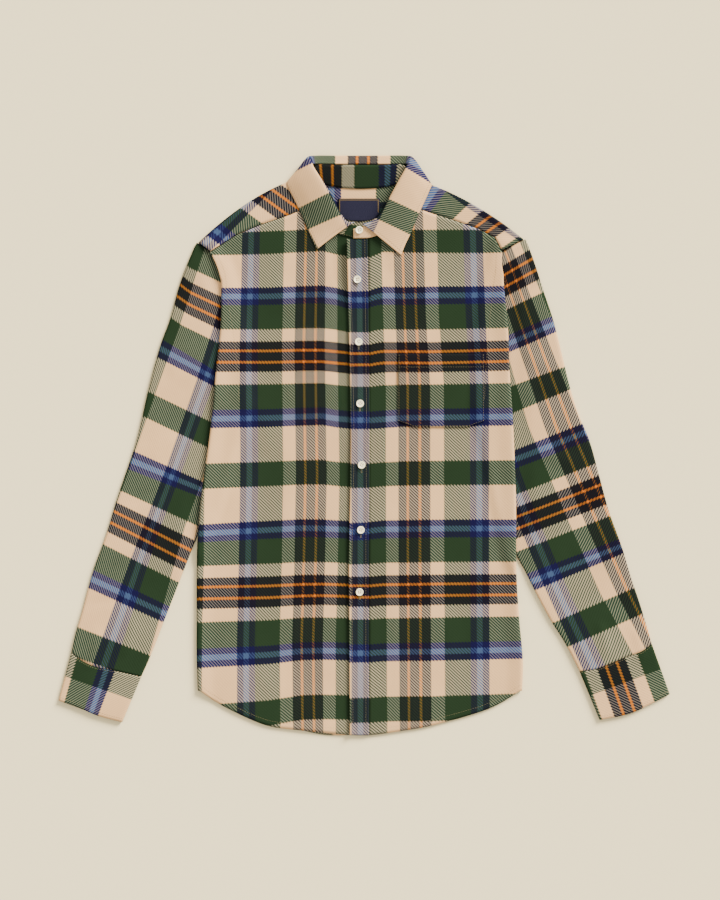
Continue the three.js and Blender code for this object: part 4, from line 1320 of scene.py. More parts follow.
@dataclass
class Thread3D:
    """Sewing thread, laid as rows of short stitches on a surface."""

    stitch: float = 2.5
    gap: float = 0.9
    radius: float = 0.15
    sides: int = 5
    first_at: float = 0.15  # of a stitch's room
    arch: tuple[float, ...] = (-0.05, 1.0, 1.0, -0.05)
    arch_height: float = 0.8  # of the thread's radius

    def row(self, path: Array, up: Array | None = None) -> tuple[Array, list]:
        """Stitches along a path.

        Args:
            path: points on the cloth, close together, in millimetres.
            up: the direction off the cloth at each point; straight up if left out.

        Returns:
            The points and faces of all the stitches.
        """
        run = np.concatenate([[0], np.cumsum(np.linalg.norm(np.diff(path, axis=0), axis=1))])
        count = max(1, int(run[-1] / (self.stitch + self.gap)))
        vertices, faces = [], []
        up = np.tile([0.0, 0.0, 1.0], (len(path), 1)) if up is None else up
        for k in range(count):
            start = (k + self.first_at) * run[-1] / count
            at = start + np.linspace(0, 1, 4) * self.stitch
            centre = np.column_stack([np.interp(at, run, path[:, c]) for c in range(3)])
            lift = np.array([np.interp(at[1], run, up[:, c]) for c in range(3)])
            lift /= np.linalg.norm(lift)
            way = centre[-1] - centre[0]
            way /= max(np.linalg.norm(way), 1e-9)
            side = np.cross(way, lift)
            arch = np.array(self.arch) * self.radius * self.arch_height
            centre = centre + lift * arch[:, None]
            base = len(vertices)
            vertices.append(centre[0])
            for c in centre[1:3]:
                for a in np.arange(self.sides) * 2 * np.pi / self.sides:
                    vertices.append(c + self.radius * (math.cos(a) * side + math.sin(a) * lift))
            vertices.append(centre[3])
            n = self.sides
            first, second, tip = base + 1, base + 1 + n, base + 1 + 2 * n
            for j in range(n):
                nxt = (j + 1) % n
                faces.append((base, first + j, first + nxt))
                faces.append((first + j, second + j, second + nxt, first + nxt))
                faces.append((second + j, tip, second + nxt))
        return np.array(vertices), faces

    def sew(self, name: str, rows: Sequence[Array], material: bpy.types.Material) -> bpy.types.Object:
        """Makes one object of several rows of stitches."""
        vertices, faces, base = [], [], 0
        for path in rows:
            points, quads = self.row(path)
            vertices.append(points)
            faces += [tuple(base + k for k in face) for face in quads]
            base += len(points)
        made = mesh_object(name, np.vstack(vertices), faces)
        made.data.materials.append(material)
        return made


Socket = bpy.types.NodeSocket
SRGB_GAMMA = 2.4
SRGB_SLOPE = 12.92  # of its straight foot
SRGB_FOOT = 0.04045
SRGB_OFFSET = 0.055


def colour(code: str) -> tuple[float, float, float, float]:
    """Linear colour of a web code."""
    parts = [int(code[i : i + 2], 16) / 255 for i in (1, 3, 5)]
    linear = [
        c / SRGB_SLOPE if c <= SRGB_FOOT else ((c + SRGB_OFFSET) / (1 + SRGB_OFFSET)) ** SRGB_GAMMA
        for c in parts
    ]
    return (*linear, 1.0)


class Graph:
    """Short ways to add nodes to one node tree."""

    def __init__(self, tree: bpy.types.NodeTree) -> None:
        """Takes the tree to add to."""
        self.tree = tree

    def node(self, kind: str, **settings: object) -> bpy.types.Node:
        """Adds a node and sets its properties."""
        node = self.tree.nodes.new(kind)
        for name, value in settings.items():
            setattr(node, name, value)
        return node

    def feed(self, socket: Socket, value: object) -> None:
        """Links a socket to another, or sets its constant."""
        if isinstance(value, Socket):
            self.tree.links.new(value, socket)
        else:
            socket.default_value = value

    def math(self, operation: str, a: object, b: object = None, c: object = None) -> Socket:
        """A calculation with up to three values."""
        node = self.node("ShaderNodeMath", operation=operation)
        for socket, value in zip(node.inputs, (a, b, c)):
            if value is not None:
                self.feed(socket, value)
        return node.outputs[0]

    def mix_colour(self, share: object, a: object, b: object, blend: str = "MIX") -> Socket:
        """Two colours mixed by a share."""
        node = self.node("ShaderNodeMix", data_type="RGBA", blend_type=blend, clamp_factor=True)
        self.feed(node.inputs["Factor"], share)
        self.feed(node.inputs[6], a)
        self.feed(node.inputs[7], b)
        return node.outputs[2]

    def grey(self, value: Socket) -> Socket:
        """How bright a colour is."""
        node = self.node("ShaderNodeRGBToBW")
        self.feed(node.inputs[0], value)
        return node.outputs[0]

    def step(self, value: object, low: float, high: float) -> Socket:
        """0 below low, 1 above high and a soft rise between."""
        node = self.node("ShaderNodeMapRange", interpolation_type="SMOOTHSTEP")
        for name, given in (("Value", value), ("From Min", low), ("From Max", high)):
            self.feed(node.inputs[name], given)
        return node.outputs["Result"]

    def noise(self, vector: Socket, scale: float, detail: float = 2.0, roughness: float = 0.5) -> Socket:
        """A noise value at a place."""
        node = self.node("ShaderNodeTexNoise")
        self.feed(node.inputs["Vector"], vector)
        for name, value in (("Scale", scale), ("Detail", detail), ("Roughness", roughness)):
            node.inputs[name].default_value = value
        return node.outputs["Fac"]


class Dye(Enum):
    """The yarn's colours, as reflected shares of red, green and blue."""

    BLACK = (0.0058, 0.0056, 0.0105)
    ORANGE = (0.40, 0.105, 0.012)
    CREAM = (0.55, 0.36, 0.24)
    GREEN = (0.0112, 0.0235, 0.0155)
    NAVY = (0.0058, 0.0054, 0.041)
    BLUE = (0.031, 0.056, 0.160)


class Band(NamedTuple):
    """A stripe of the check, from its start to the next row's."""

    start: float
    dye: Dye


@dataclass(frozen=True)
class Check:
    """The woven check: half of its repeat, mirrored, the same in warp and weft.

    Brushed fibres of both threads lie over each other, so the two dyes filter each other's light.
    """

    half_repeat: float = 163.8
    twill: float = 4.3
    least_warp: float = 0.03
    most_warp: float = 0.8
    weft_float: float = 0.29
    turn: float = 0.06
    dark_cover: float = 0.41
    orange_cover: float = 0.8
    jag: float = 1.7
    mixed_tint: tuple[float, float, float, float] = (0.82, 1.05, 1.4, 1.0)
    mixed_gain: float = 2.6
    uneven_scale: float = 9.0
    fuzz_scale: float = 160.0
    fuzz_height: float = 0.4
    groove_width: float = 0.16
    # painted shade: how much darker the twill's grooves are coloured
    groove_shade: float = 0.14
    groove_height: float = 0.6
    wash_scale: float = 1.3
    wash: float = 0.28
    bands: tuple[Band, ...] = (
        Band(0.0, Dye.BLACK),
        Band(5.9, Dye.ORANGE),
        Band(9.1, Dye.BLACK),
        Band(20.6, Dye.CREAM),
        Band(38.1, Dye.GREEN),
        Band(72.4, Dye.NAVY),
        Band(81.1, Dye.BLUE),
        Band(88.7, Dye.NAVY),
        Band(97.6, Dye.CREAM),
        Band(146.3, Dye.GREEN),
    )

    def group(self) -> bpy.types.NodeTree:
        """The node group that weaves the check from cloth coordinates.

        Returns:
            A group with the cloth's place as input, and its colour and height as outputs.
        """
        tree = bpy.data.node_groups.new("Woven check", "ShaderNodeTree")
        face = tree.interface
        face.new_socket("Across", in_out="INPUT", socket_type="NodeSocketFloat")
        face.new_socket("Along", in_out="INPUT", socket_type="NodeSocketFloat")
        face.new_socket("Place", in_out="INPUT", socket_type="NodeSocketVector")
        face.new_socket("Nap", in_out="INPUT", socket_type="NodeSocketFloat")
        face.new_socket("Colour", in_out="OUTPUT", socket_type="NodeSocketColor")
        face.new_socket("Height", in_out="OUTPUT", socket_type="NodeSocketFloat")
        g = Graph(tree)
        given = g.node("NodeGroupInput").outputs
        across, along, place, nap = (given[n] for n in ("Across", "Along", "Place", "Nap"))
        uneven = g.math("SUBTRACT", g.noise(place, self.uneven_scale, 3.0), 0.5)
        diagonal = g.math("DIVIDE", g.math("ADD", g.math("ADD", across, along), uneven), self.twill)
        phase = g.math("SUBTRACT", g.math("FRACT", diagonal), 0.5)
        wave = g.math("ABSOLUTE", phase)
        shift = g.math("MULTIPLY", phase, self.jag)
        fuzz = g.math("SUBTRACT", g.noise(place, self.fuzz_scale, 2.0, 0.7), 0.5)
        under = g.math("SUBTRACT", 0.5, g.math("ADD", wave, g.math("MULTIPLY", fuzz, nap)))
        warp = self.stripe(g, g.math("ADD", across, shift))
        weft = self.stripe(g, g.math("ADD", along, shift))
        up = g.step(under, self.weft_float - self.turn, self.weft_float + self.turn)
        thin = g.math("SUBTRACT", 1.0, g.math("MULTIPLY", self.orange(g, weft), self.orange_cover))
        up = g.math("MULTIPLY", g.math("MULTIPLY", up, thin), self.most_warp - self.least_warp)
        warp_share = g.math("ADD", up, self.least_warp)
        warp_part, weft_part = g.node("ShaderNodeGamma"), g.node("ShaderNodeGamma")
        g.feed(warp_part.inputs["Color"], warp)
        g.feed(warp_part.inputs["Gamma"], warp_share)
        g.feed(weft_part.inputs["Color"], weft)
        g.feed(weft_part.inputs["Gamma"], g.math("SUBTRACT", 1.0, warp_share))
        filtered = g.mix_colour(1.0, warp_part.outputs[0], weft_part.outputs[0], "MULTIPLY")
        darker = g.mix_colour(1.0, warp, weft, "DARKEN")
        covered = g.mix_colour(self.dark_cover, filtered, darker)
        apart = g.math("ABSOLUTE", g.math("SUBTRACT", g.grey(warp), g.grey(weft)))
        mixed = g.math("MINIMUM", g.math("MULTIPLY", apart, self.mixed_gain), 1.0)
        woven = g.mix_colour(mixed, covered, self.mixed_tint, "MULTIPLY")
        # Painted shade: the twill's grooves are darkened by up to groove_shade. The wash laid over it is
        # random tone.
        groove = g.step(wave, 0.0, self.groove_width)
        shade = g.math("ADD", 1 - self.groove_shade, g.math("MULTIPLY", groove, self.groove_shade))
        wash = g.math("MULTIPLY", g.noise(place, self.wash_scale, 3.0), self.wash)
        washed = g.math("ADD", 1 - self.wash / 2, wash)
        # the woven colour with painted groove shade and the random wash
        brushed = g.mix_colour(1.0, woven, g.math("MULTIPLY", shade, washed), "MULTIPLY")
        raised = g.math("MULTIPLY", groove, self.groove_height)
        height = g.math("ADD", raised, g.math("MULTIPLY", fuzz, self.fuzz_height))
        end = g.node("NodeGroupOutput")
        g.feed(end.inputs["Colour"], brushed)
        g.feed(end.inputs["Height"], height)
        return tree

    @staticmethod
    def orange(g: Graph, dye: Socket) -> Socket:
        """1 on the orange threads, which are thick and lie on top."""
        parts = g.node("ShaderNodeSeparateColor")
        g.feed(parts.inputs[0], dye)
        apart = g.math("SUBTRACT", parts.outputs[0], g.math("MULTIPLY", parts.outputs[1], 2.0))
        return g.step(apart, 0.05, 0.12)

    def stripe(self, g: Graph, place: Socket) -> Socket:
        """Colour of the threads at one place in the repeat."""
        folded = g.math("PINGPONG", place, self.half_repeat)
        ramp = g.node("ShaderNodeValToRGB")
        ramp.color_ramp.interpolation = "CONSTANT"
        marks = ramp.color_ramp.elements
        while len(marks) < len(self.bands):
            marks.new(1.0)
        for mark, band in zip(marks, self.bands):
            mark.position = band.start / self.half_repeat
            mark.color = (*band.dye.value, 1.0)
        g.feed(ramp.inputs[0], g.math("DIVIDE", folded, self.half_repeat))
        return ramp.outputs["Color"]


@dataclass(frozen=True)
class Flannel:
    """Brushed cotton twill, woven in the check."""

    name: str = "brushed flannel"
    nap: float = 0.08
    roughness: float = 0.93
    specular: float = 0.02
    bump_distance: float = 0.0004
    bump_strength: float = 0.5

    def material(self, check: bpy.types.NodeTree) -> bpy.types.Material:
        """The cloth's material.

        Args:
            check: the group that weaves the check.

        Returns:
            The material.
        """
        made = bpy.data.materials.new(self.name)
        made.use_nodes = True
        g = Graph(made.node_tree)
        cloth = made.node_tree.nodes["Principled BSDF"]
        place = g.node("ShaderNodeUVMap", uv_map=CLOTH_MAP).outputs[0]
        parts = g.node("ShaderNodeSeparateXYZ")
        g.feed(parts.inputs[0], place)
        weave = g.node("ShaderNodeGroup", node_tree=check)
        g.feed(weave.inputs["Across"], g.math("MULTIPLY", parts.outputs[0], UNIT))
        g.feed(weave.inputs["Along"], g.math("MULTIPLY", parts.outputs[1], UNIT))
        g.feed(weave.inputs["Place"], place)
        weave.inputs["Nap"].default_value = self.nap
        bump = g.node("ShaderNodeBump")
        bump.inputs["Distance"].default_value = self.bump_distance
        bump.inputs["Strength"].default_value = self.bump_strength
        g.feed(bump.inputs["Height"], weave.outputs["Height"])
        g.feed(cloth.inputs["Base Color"], weave.outputs["Colour"])
        g.feed(cloth.inputs["Normal"], bump.outputs[0])
        cloth.inputs["Roughness"].default_value = self.roughness
        cloth.inputs["Specular IOR Level"].default_value = self.specular
        return made


@dataclass(frozen=True)
class Plain:
    """A finish of one colour with a fine mottle."""

    name: str
    tone: str
    roughness: float
    mottle: float = 0.06
    scale: float = 300.0
    coat: float = 0.0

    def material(self) -> bpy.types.Material:
        """The material."""
        made = bpy.data.materials.new(self.name)
        made.use_nodes = True
        g = Graph(made.node_tree)
        shader = made.node_tree.nodes["Principled BSDF"]
        place = g.node("ShaderNodeTexCoord").outputs["Object"]
        mottle = g.noise(place, self.scale, 3.0)
        tone = g.math("ADD", 1 - self.mottle / 2, g.math("MULTIPLY", mottle, self.mottle))
        g.feed(shader.inputs["Base Color"], g.mix_colour(1.0, colour(self.tone), tone, "MULTIPLY"))
        spread = g.math("ADD", self.roughness - 0.04, g.math("MULTIPLY", mottle, 0.08))
        g.feed(shader.inputs["Roughness"], spread)
        shader.inputs["Coat Weight"].default_value = self.coat
        return made


@dataclass(frozen=True)
class LabelTape:
    """Satin-woven navy tape with painted sheen along its ribs and a thin gold frame line, bare inside."""

    name: str = "label tape"
    navy: tuple[float, float, float, float] = (0.0062, 0.0066, 0.030, 1.0)
    # painted sheen colour on the satin ribs
    sheen: tuple[float, float, float, float] = (0.016, 0.018, 0.055, 1.0)
    gold: tuple[float, float, float, float] = (0.15, 0.105, 0.045, 1.0)
    width: float = 58.0
    height: float = 32.0
    inset: float = 2.0
    line: float = 0.55
    frame_foot: float = -3.0

    def material(self) -> bpy.types.Material:
        """The label's material."""
        made = bpy.data.materials.new(self.name)
        made.use_nodes = True
        g = Graph(made.node_tree)
        shader = made.node_tree.nodes["Principled BSDF"]
        place = g.node("ShaderNodeUVMap", uv_map=CLOTH_MAP).outputs[0]
        parts = g.node("ShaderNodeSeparateXYZ")
        g.feed(parts.inputs[0], place)
        x = g.math("ABSOLUTE", g.math("MULTIPLY", parts.outputs[0], UNIT))
        y = g.math("MULTIPLY", parts.outputs[1], UNIT)
        from_side = g.math("SUBTRACT", self.width / 2, x)
        from_end = g.math("SUBTRACT", self.height / 2, y)
        inwards = g.math("MINIMUM", from_side, from_end)
        off = g.math("ABSOLUTE", g.math("SUBTRACT", inwards, self.inset))
        frame_line = g.math("MULTIPLY", g.step(off, self.line, self.line / 2),
                            g.step(y, self.frame_foot - 1, self.frame_foot))
        rib = g.math("FRACT", g.math("MULTIPLY", parts.outputs[1], UNIT / 0.5))
        # Painted sheen: each rib runs from the navy part-way to the lighter sheen colour.
        ribbed_with_sheen = g.mix_colour(g.math("MULTIPLY", rib, 0.5), self.navy, self.sheen)
        g.feed(shader.inputs["Base Color"], g.mix_colour(frame_line, ribbed_with_sheen, self.gold))
        bump = g.node("ShaderNodeBump")
        bump.inputs["Distance"].default_value = 0.0001
        g.feed(bump.inputs["Height"], g.math("ADD", rib, frame_line))
        g.feed(shader.inputs["Normal"], bump.outputs[0])
        shader.inputs["Roughness"].default_value = 0.7
        shader.inputs["Specular IOR Level"].default_value = 0.1
        return made


PIXEL = 1.4
PICTURE_MIDDLE_X = 360.0
PICTURE_ZERO_Y = 447.0


def mm(px: float, py: float) -> Spot:
    """A place read in the picture, in millimetres."""
    return Spot((px - PICTURE_MIDDLE_X) * PIXEL, (PICTURE_ZERO_Y - py) * PIXEL)


# How the check lies on each piece: a thread's place in the repeat in millimetres, then its spots.
FRONT_LAY = {
    Side.RIGHT: Lay(
        warp=chart(
            (-77.6, (9, -300), (9, 300)),
            (-38.1, (-34.5, -375), (-34.5, -270), (-31.5, -165), (-29, -39), (-32, 136), (-32.2, 255)),
            (0.0, (-72.4, -375), (-73.8, -270), (-70.6, -165), (-68.3, -39), (-70.8, 136), (-68.7, 255)),
            (97.6, (-172, -375), (-172, -270), (-169.5, -165), (-167.5, -39), (-168, 136), (-165.6, 255)),
            (146.3, (-221, -375), (-221, -270), (-218.5, -165), (-217, -39), (-217.5, 136), (-214.5, 255)),
        ),
        weft=chart(
            (-181.3, (-188, 300.3), (-107, 303.3), (-50, 306), (-19, 300)),
            (-146.3, (-188, 268.4), (-127, 269.9), (-82, 272.6), (-53, 274.1), (-33.6, 269.5),
             (-18.9, 267.4)),
            (-84.9, (-188, 210.3), (-127, 210.8), (-82, 212.7), (-53, 213.4), (-33.6, 210.7),
             (-18.9, 205.8)),
            (0.0, (-188, 126.6), (-127, 126.6), (-82, 127.5), (-53, 127.4), (-33.6, 125.6), (-18.9, 124.3)),
            (84.9, (-188, 39.9), (-127, 40.9), (-82, 42.6), (-53, 43.7), (-33.6, 40), (-18.9, 38.6)),
            (242.7, (-188, -119.6), (-127, -116.3), (-82, -113.8), (-53, -114.2), (-18.9, -116.1)),
            (327.6, (-188, -203.5), (-127, -202.6), (-82, -200.5), (-53, -200.1), (-18.9, -201.2)),
            (412.5, (-188, -293.6), (-127, -290.6), (-82, -285.7), (-53, -285), (-18.9, -285.9)),
        ),
    ),
    Side.LEFT: Lay(
        warp=chart(
            (72.4, (0, -300), (0, 87), (-3.2, 255)),
            (38.1, (38, -290), (37, -150), (36.5, 87), (32.8, 185), (31.1, 255)),
            (0.0, (76, -290), (75, -150), (74.8, 87), (70.7, 171), (68, 255)),
            (-38.1, (118.4, -290), (117.6, -150), (117, 87), (109.9, 185), (108.2, 255)),
            (-97.6, (181, -290), (180.3, -150), (180, 87), (175, 185), (172.8, 255)),
        ),
        weft=chart(
            (-181.3, (16, 300), (50, 304.5), (194, 304.5)),
            (-146.3, (16.1, 266), (22.4, 268.8), (32.2, 273.3), (60, 272.3), (99, 271.6), (194, 271.2)),
            (-84.9, (16.1, 208), (22.4, 210), (32.2, 211.7), (60, 210.9), (99, 212.1), (194, 212.8)),
            (0.0, (16.1, 123.1), (22.4, 124.5), (32.2, 125.9), (60, 125.7), (99, 125.3), (194, 127.5)),
            (84.9, (16.1, 37.7), (22.4, 38.1), (32.2, 38.8), (60, 41), (99, 41.6), (194, 42.6)),
            (242.7, (16.1, -117.2), (32.2, -115.4), (60, -115.2), (99, -114.5), (194, -114.2)),
            (327.6, (16.1, -202.2), (32.2, -200.8), (60, -200.6), (99, -199.9), (194, -199.1)),
            (412.5, (16.1, -288.4), (32.2, -287), (60, -286.6), (99, -286.3), (194, -284.2)),
        ),
    ),
}
PLACKET_LAY = Lay(
    warp=chart(
        (101.1, (-15.4, -300), (-15.4, 100), (-17.4, 255)),
        (72.4, (13.3, -300), (13.3, 100), (11.6, 255)),
    ),
    weft=chart(
        (-146.3, (-12, 263), (12, 265.5)),
        (-84.9, (-12, 205.8), (12, 205.6)),
        (0.0, (-12, 122.9), (12, 123.1)),
        (84.9, (-12, 37.9), (12, 37.8)),
        (242.7, (-12, -119), (12, -118.2)),
        (327.6, (-12, -202), (12, -202.2)),
        (412.5, (-12, -288.4), (12, -288.4)),
    ),
)
BACK_LAY = Lay(
    warp=chart((0.0, (0, -300), (0, 300)), (163.8, (163.8, -300), (163.8, 300))),
    weft=chart((0.0, (-200, 126.7), (200, 126.7)), (327.6, (-200, -200.9), (200, -200.9))),
)
YOKE_LAY = {
    Side.RIGHT: Lay(
        warp=chart(
            (0.0, mm(266.9, 192.9), mm(291.2, 210.5)),
            (-38.1, mm(250.9, 214.9), mm(275.2, 232.5)),
            (-72.4, mm(236.5, 234.7), mm(260.8, 252.3)),
        ),
        weft=chart(
            (97.6, mm(257.2, 204.7), mm(277.2, 184.7)),
            (146.3, mm(281.8, 229.3), mm(301.8, 209.3)),
        ),
    ),
    Side.LEFT: Lay(
        warp=chart(
            (255.2, mm(445.9, 192.1), mm(431.0, 211.6)),
            (289.5, mm(467.8, 205.3), mm(454.0, 218.5)),
            (327.6, mm(497.9, 217.3), mm(482.4, 228.2)),
            (365.7, mm(515.4, 238.2), mm(499.9, 249.1)),
        ),
        weft=chart(
            (97.6, mm(445.9, 191.5), mm(465.5, 206.4), mm(502.2, 230)),
            (146.3, mm(424.7, 219), mm(444.3, 233.9), mm(481, 257.5)),
        ),
    ),
}
YOKE_BACK_LAY = Lay(
    warp=chart(
        (0.0, (-130.3, 260), (-130.3, 380)),
        (97.6, (-26.6, 260), (-26.6, 380)),
        (146.3, (22.1, 260), (22.1, 380)),
        (327.6, (193.1, 260), (193.1, 380)),
    ),
    weft=chart(
        (97.6, (-130, 358), (-40, 343), (40, 343), (120, 358)),
        (146.3, (-130, 406), (-40, 391), (40, 391), (120, 406)),
    ),
)
LEAF_LAY = {
    Side.RIGHT: Lay(
        warp=chart(
            (97.6, mm(339.9, 214.5), mm(347.3, 228.2)),
            (146.3, mm(309.3, 231), mm(316.7, 244.7)),
        ),
        weft=chart(
            (-97.6, mm(295.1, 172.0), mm(313.5, 163.9)),
            (-146.3, mm(299.7, 207.6), mm(327.2, 194.4)),
            (-181.3, mm(308.9, 229.4), mm(339.9, 216.2)),
        ),
    ),
    Side.LEFT: Lay(
        warp=chart(
            (97.6, mm(403.2, 168), mm(373.2, 233.4)),
            (146.3, mm(433.8, 184.5), mm(403.8, 249.9)),
        ),
        weft=chart(
            (97.6, mm(404.6, 168.5), mm(429.9, 182.9)),
            (146.3, mm(389.7, 200.1), mm(418.4, 212.7)),
            (181.3, mm(380.5, 221.3), mm(408.1, 234.0)),
        ),
    ),
}

CUFF_LAY = {
    Side.RIGHT: Lay(
        warp=chart(
            (29.3, mm(71.6, 653), mm(58.8, 700.5)),
            (139.3, mm(141, 678), mm(121.8, 722)),
        ),
        weft=chart(
            (148.0, mm(71.6, 653), mm(141, 678)),
            (215.0, mm(58.8, 700.5), mm(121.8, 722)),
        ),
    ),
    Side.LEFT: Lay(
        warp=chart(
            (-62.0, mm(651.8, 645.5), mm(669.2, 693.5)),
            (43.0, mm(581.4, 672), mm(598.8, 720)),
        ),
        weft=chart(
            (148.0, mm(581.4, 672), mm(651.8, 645.5)),
            (215.0, mm(598.8, 720), mm(669.2, 693.5)),
        ),
    ),
}
SLEEVE_LAY = {
    Side.RIGHT: Lay(
        warp=chart(
            (146.3, mm(192.7, 286.6), mm(180.5, 324.8), mm(155, 395.6), mm(136.5, 448.6),
             mm(95, 567), mm(62, 660)),
            (97.6, mm(213.1, 327.4), mm(197.1, 379.7), mm(167.1, 466.4), mm(131.8, 556.7), mm(107, 625.5)),
            (38.1, mm(245, 366), mm(228, 410), mm(185.4, 526), mm(165.3, 598.8), mm(150, 654)),
        ),
        weft=chart(
            (0.0, mm(179.2, 290.7), mm(189.5, 298.4), mm(221.3, 313.6)),
            (38.1, mm(171.6, 317.8), mm(180.5, 324.2), mm(219.4, 343.3)),
            (72.4, mm(164, 340.1), mm(200.3, 361.8)),
            (97.6, mm(158.9, 358), mm(215, 386.7)),
            (146.3, mm(149.3, 391.8), mm(211.1, 421.8)),
            (181.3, mm(143.5, 416.7), mm(208, 447.9)),
            (230.0, mm(132.1, 450.5), mm(202.6, 482)),
            (255.2, mm(126.1, 468.7), mm(200.7, 497.5)),
            (289.5, mm(120.3, 490.7), mm(196.9, 526)),
            (327.6, mm(112.1, 516.5), mm(189.2, 556.7)),
            (365.7, mm(104.1, 544.2), mm(179.6, 582.5)),
            (400.0, mm(94.5, 570), mm(170, 606.4)),
            (425.2, mm(89.7, 588.2), mm(162.4, 621.7)),
            (473.9, mm(77.3, 626.5), mm(150, 655.2)),
        ),
    ),
    Side.LEFT: Lay(
        warp=chart(
            (-97.6, mm(470, 300), mm(487, 427.5), mm(515, 515), mm(545.7, 589.4), mm(583.5, 671)),
            (-38.1, mm(492, 300), mm(529, 427.5), mm(568.2, 520), mm(600, 592), mm(633.5, 654.7)),
            (0.0, mm(515.3, 292.9), mm(533.6, 344.6), mm(563.5, 427.5), mm(600.3, 512.9),
             mm(632, 585), mm(664, 650)),
        ),
        weft=chart(
            (0.0, mm(534.5, 264.2), mm(504.2, 281.1)),
            (38.1, mm(543.8, 291.7), mm(506.1, 309.5)),
            (72.4, mm(550.8, 316.5), mm(508.1, 335)),
            (97.6, mm(555.9, 331.8), mm(509, 352.2)),
            (146.3, mm(565.5, 366.3), mm(510.6, 386)),
            (181.3, mm(572.5, 388.6), mm(512.5, 413.5)),
            (230.0, mm(584.5, 423), mm(514, 450.6)),
            (255.2, mm(590.6, 440.4), mm(515.1, 469)),
            (289.5, mm(597.8, 462.9), mm(517.1, 494.5)),
            (327.6, mm(604.4, 489.4), mm(518.7, 522)),
            (365.7, mm(612, 514.9), mm(519.2, 550.6)),
            (400.0, mm(620.2, 538.4), mm(530.4, 572)),
            (425.2, mm(624.3, 552.7), mm(536.5, 589.4)),
            (473.9, mm(634.5, 587.3), mm(553.9, 622)),
            (508.9, mm(642.7, 613.9), mm(569.2, 646.5)),
        ),
    ),
}


@dataclass
class Studio:
    """A plain pale floor, soft light from the upper right and a camera straight above."""

    pixel: float = 1.4
    image_height: int = 900
    lens: float = 85.0
    sensor: float = 36.0
    centre_y: float = -4.2
    floor_tone: str = "#ded7c7"
    sun: float = 12.6
    sun_width: float = 26.0
    sun_turn: tuple[float, float] = (-41.0, 53.0)
    sky: float = 1.38
    floor_size: float = 4000.0
    floor_z: float = -0.3
    cloth_height: float = 4.0
    far_end: float = 20.0
    light: tuple[float, float, float, float] = (1.0, 0.89, 0.59, 1.0)

    def build(self) -> None:
        """Adds the floor, lights and camera."""
        self.floor()
        self.lights()
        self.camera()

    def floor(self) -> None:
        """The floor, just under the shirt."""
        size, z = self.floor_size, self.floor_z
        corners = [(-size, -size, z), (size, -size, z), (size, size, z), (-size, size, z)]
        floor = mesh_object("floor", np.array(corners), [(0, 1, 2, 3)], shade=False)
        finish = Plain("floor", self.floor_tone, 0.9, mottle=0.01, scale=40.0)
        floor.data.materials.append(finish.material())

    def lights(self) -> None:
        """A broad sun from the upper right, and an even sky."""
        lamp = bpy.data.lights.new("window", "SUN")
        lamp.energy, lamp.angle, lamp.color = self.sun, math.radians(self.sun_width), self.light[:3]
        sun = bpy.data.objects.new("window", lamp)
        sun.rotation_euler = (*map(math.radians, self.sun_turn), 0)
        bpy.context.scene.collection.objects.link(sun)
        world = bpy.data.worlds.new("studio")
        world.use_nodes = True
        world.node_tree.nodes["Background"].inputs[0].default_value = self.light
        world.node_tree.nodes["Background"].inputs[1].default_value = self.sky
        bpy.context.scene.world = world

    def camera(self) -> None:
        """A camera that sees the picture's frame at the cloth's height."""
        data = bpy.data.cameras.new("camera")
        data.lens, data.sensor_width, data.sensor_fit = self.lens, self.sensor, "AUTO"
        field_height = self.pixel * self.image_height
        above = field_height * self.lens / self.sensor + self.cloth_height
        camera = bpy.data.objects.new("camera", data)
        camera.location = (0, self.centre_y * MM, above * MM)
        data.clip_end = self.far_end
        bpy.context.scene.collection.objects.link(camera)
        bpy.context.scene.camera = camera


@dataclass(frozen=True)
class Cut:
    """The flat size that a piece was cut to, in metres, with its area."""

    width: float
    length: float
    area: float
    rests_on: tuple[str, ...]


def dress(piece: bpy.types.Object, node: str) -> None:
    """Puts a piece in place of its solid.

    Args:
        piece: the piece.
        node: the solid's name.
    """
    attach(piece, "root")
    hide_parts(node)
    LOG.info("%s stands for %s", piece.name, node)


BUTTON_SPOTS = spots(
    (-3.9, 234.4), (-1.8, 147.3), (0.1, 60.8), (2.2, -25.2), (1.1, -116.1), (-0.6, -203.0),
)
COLLAR_BUTTON = (-1.2, 303.4, 8.4, 0.1)


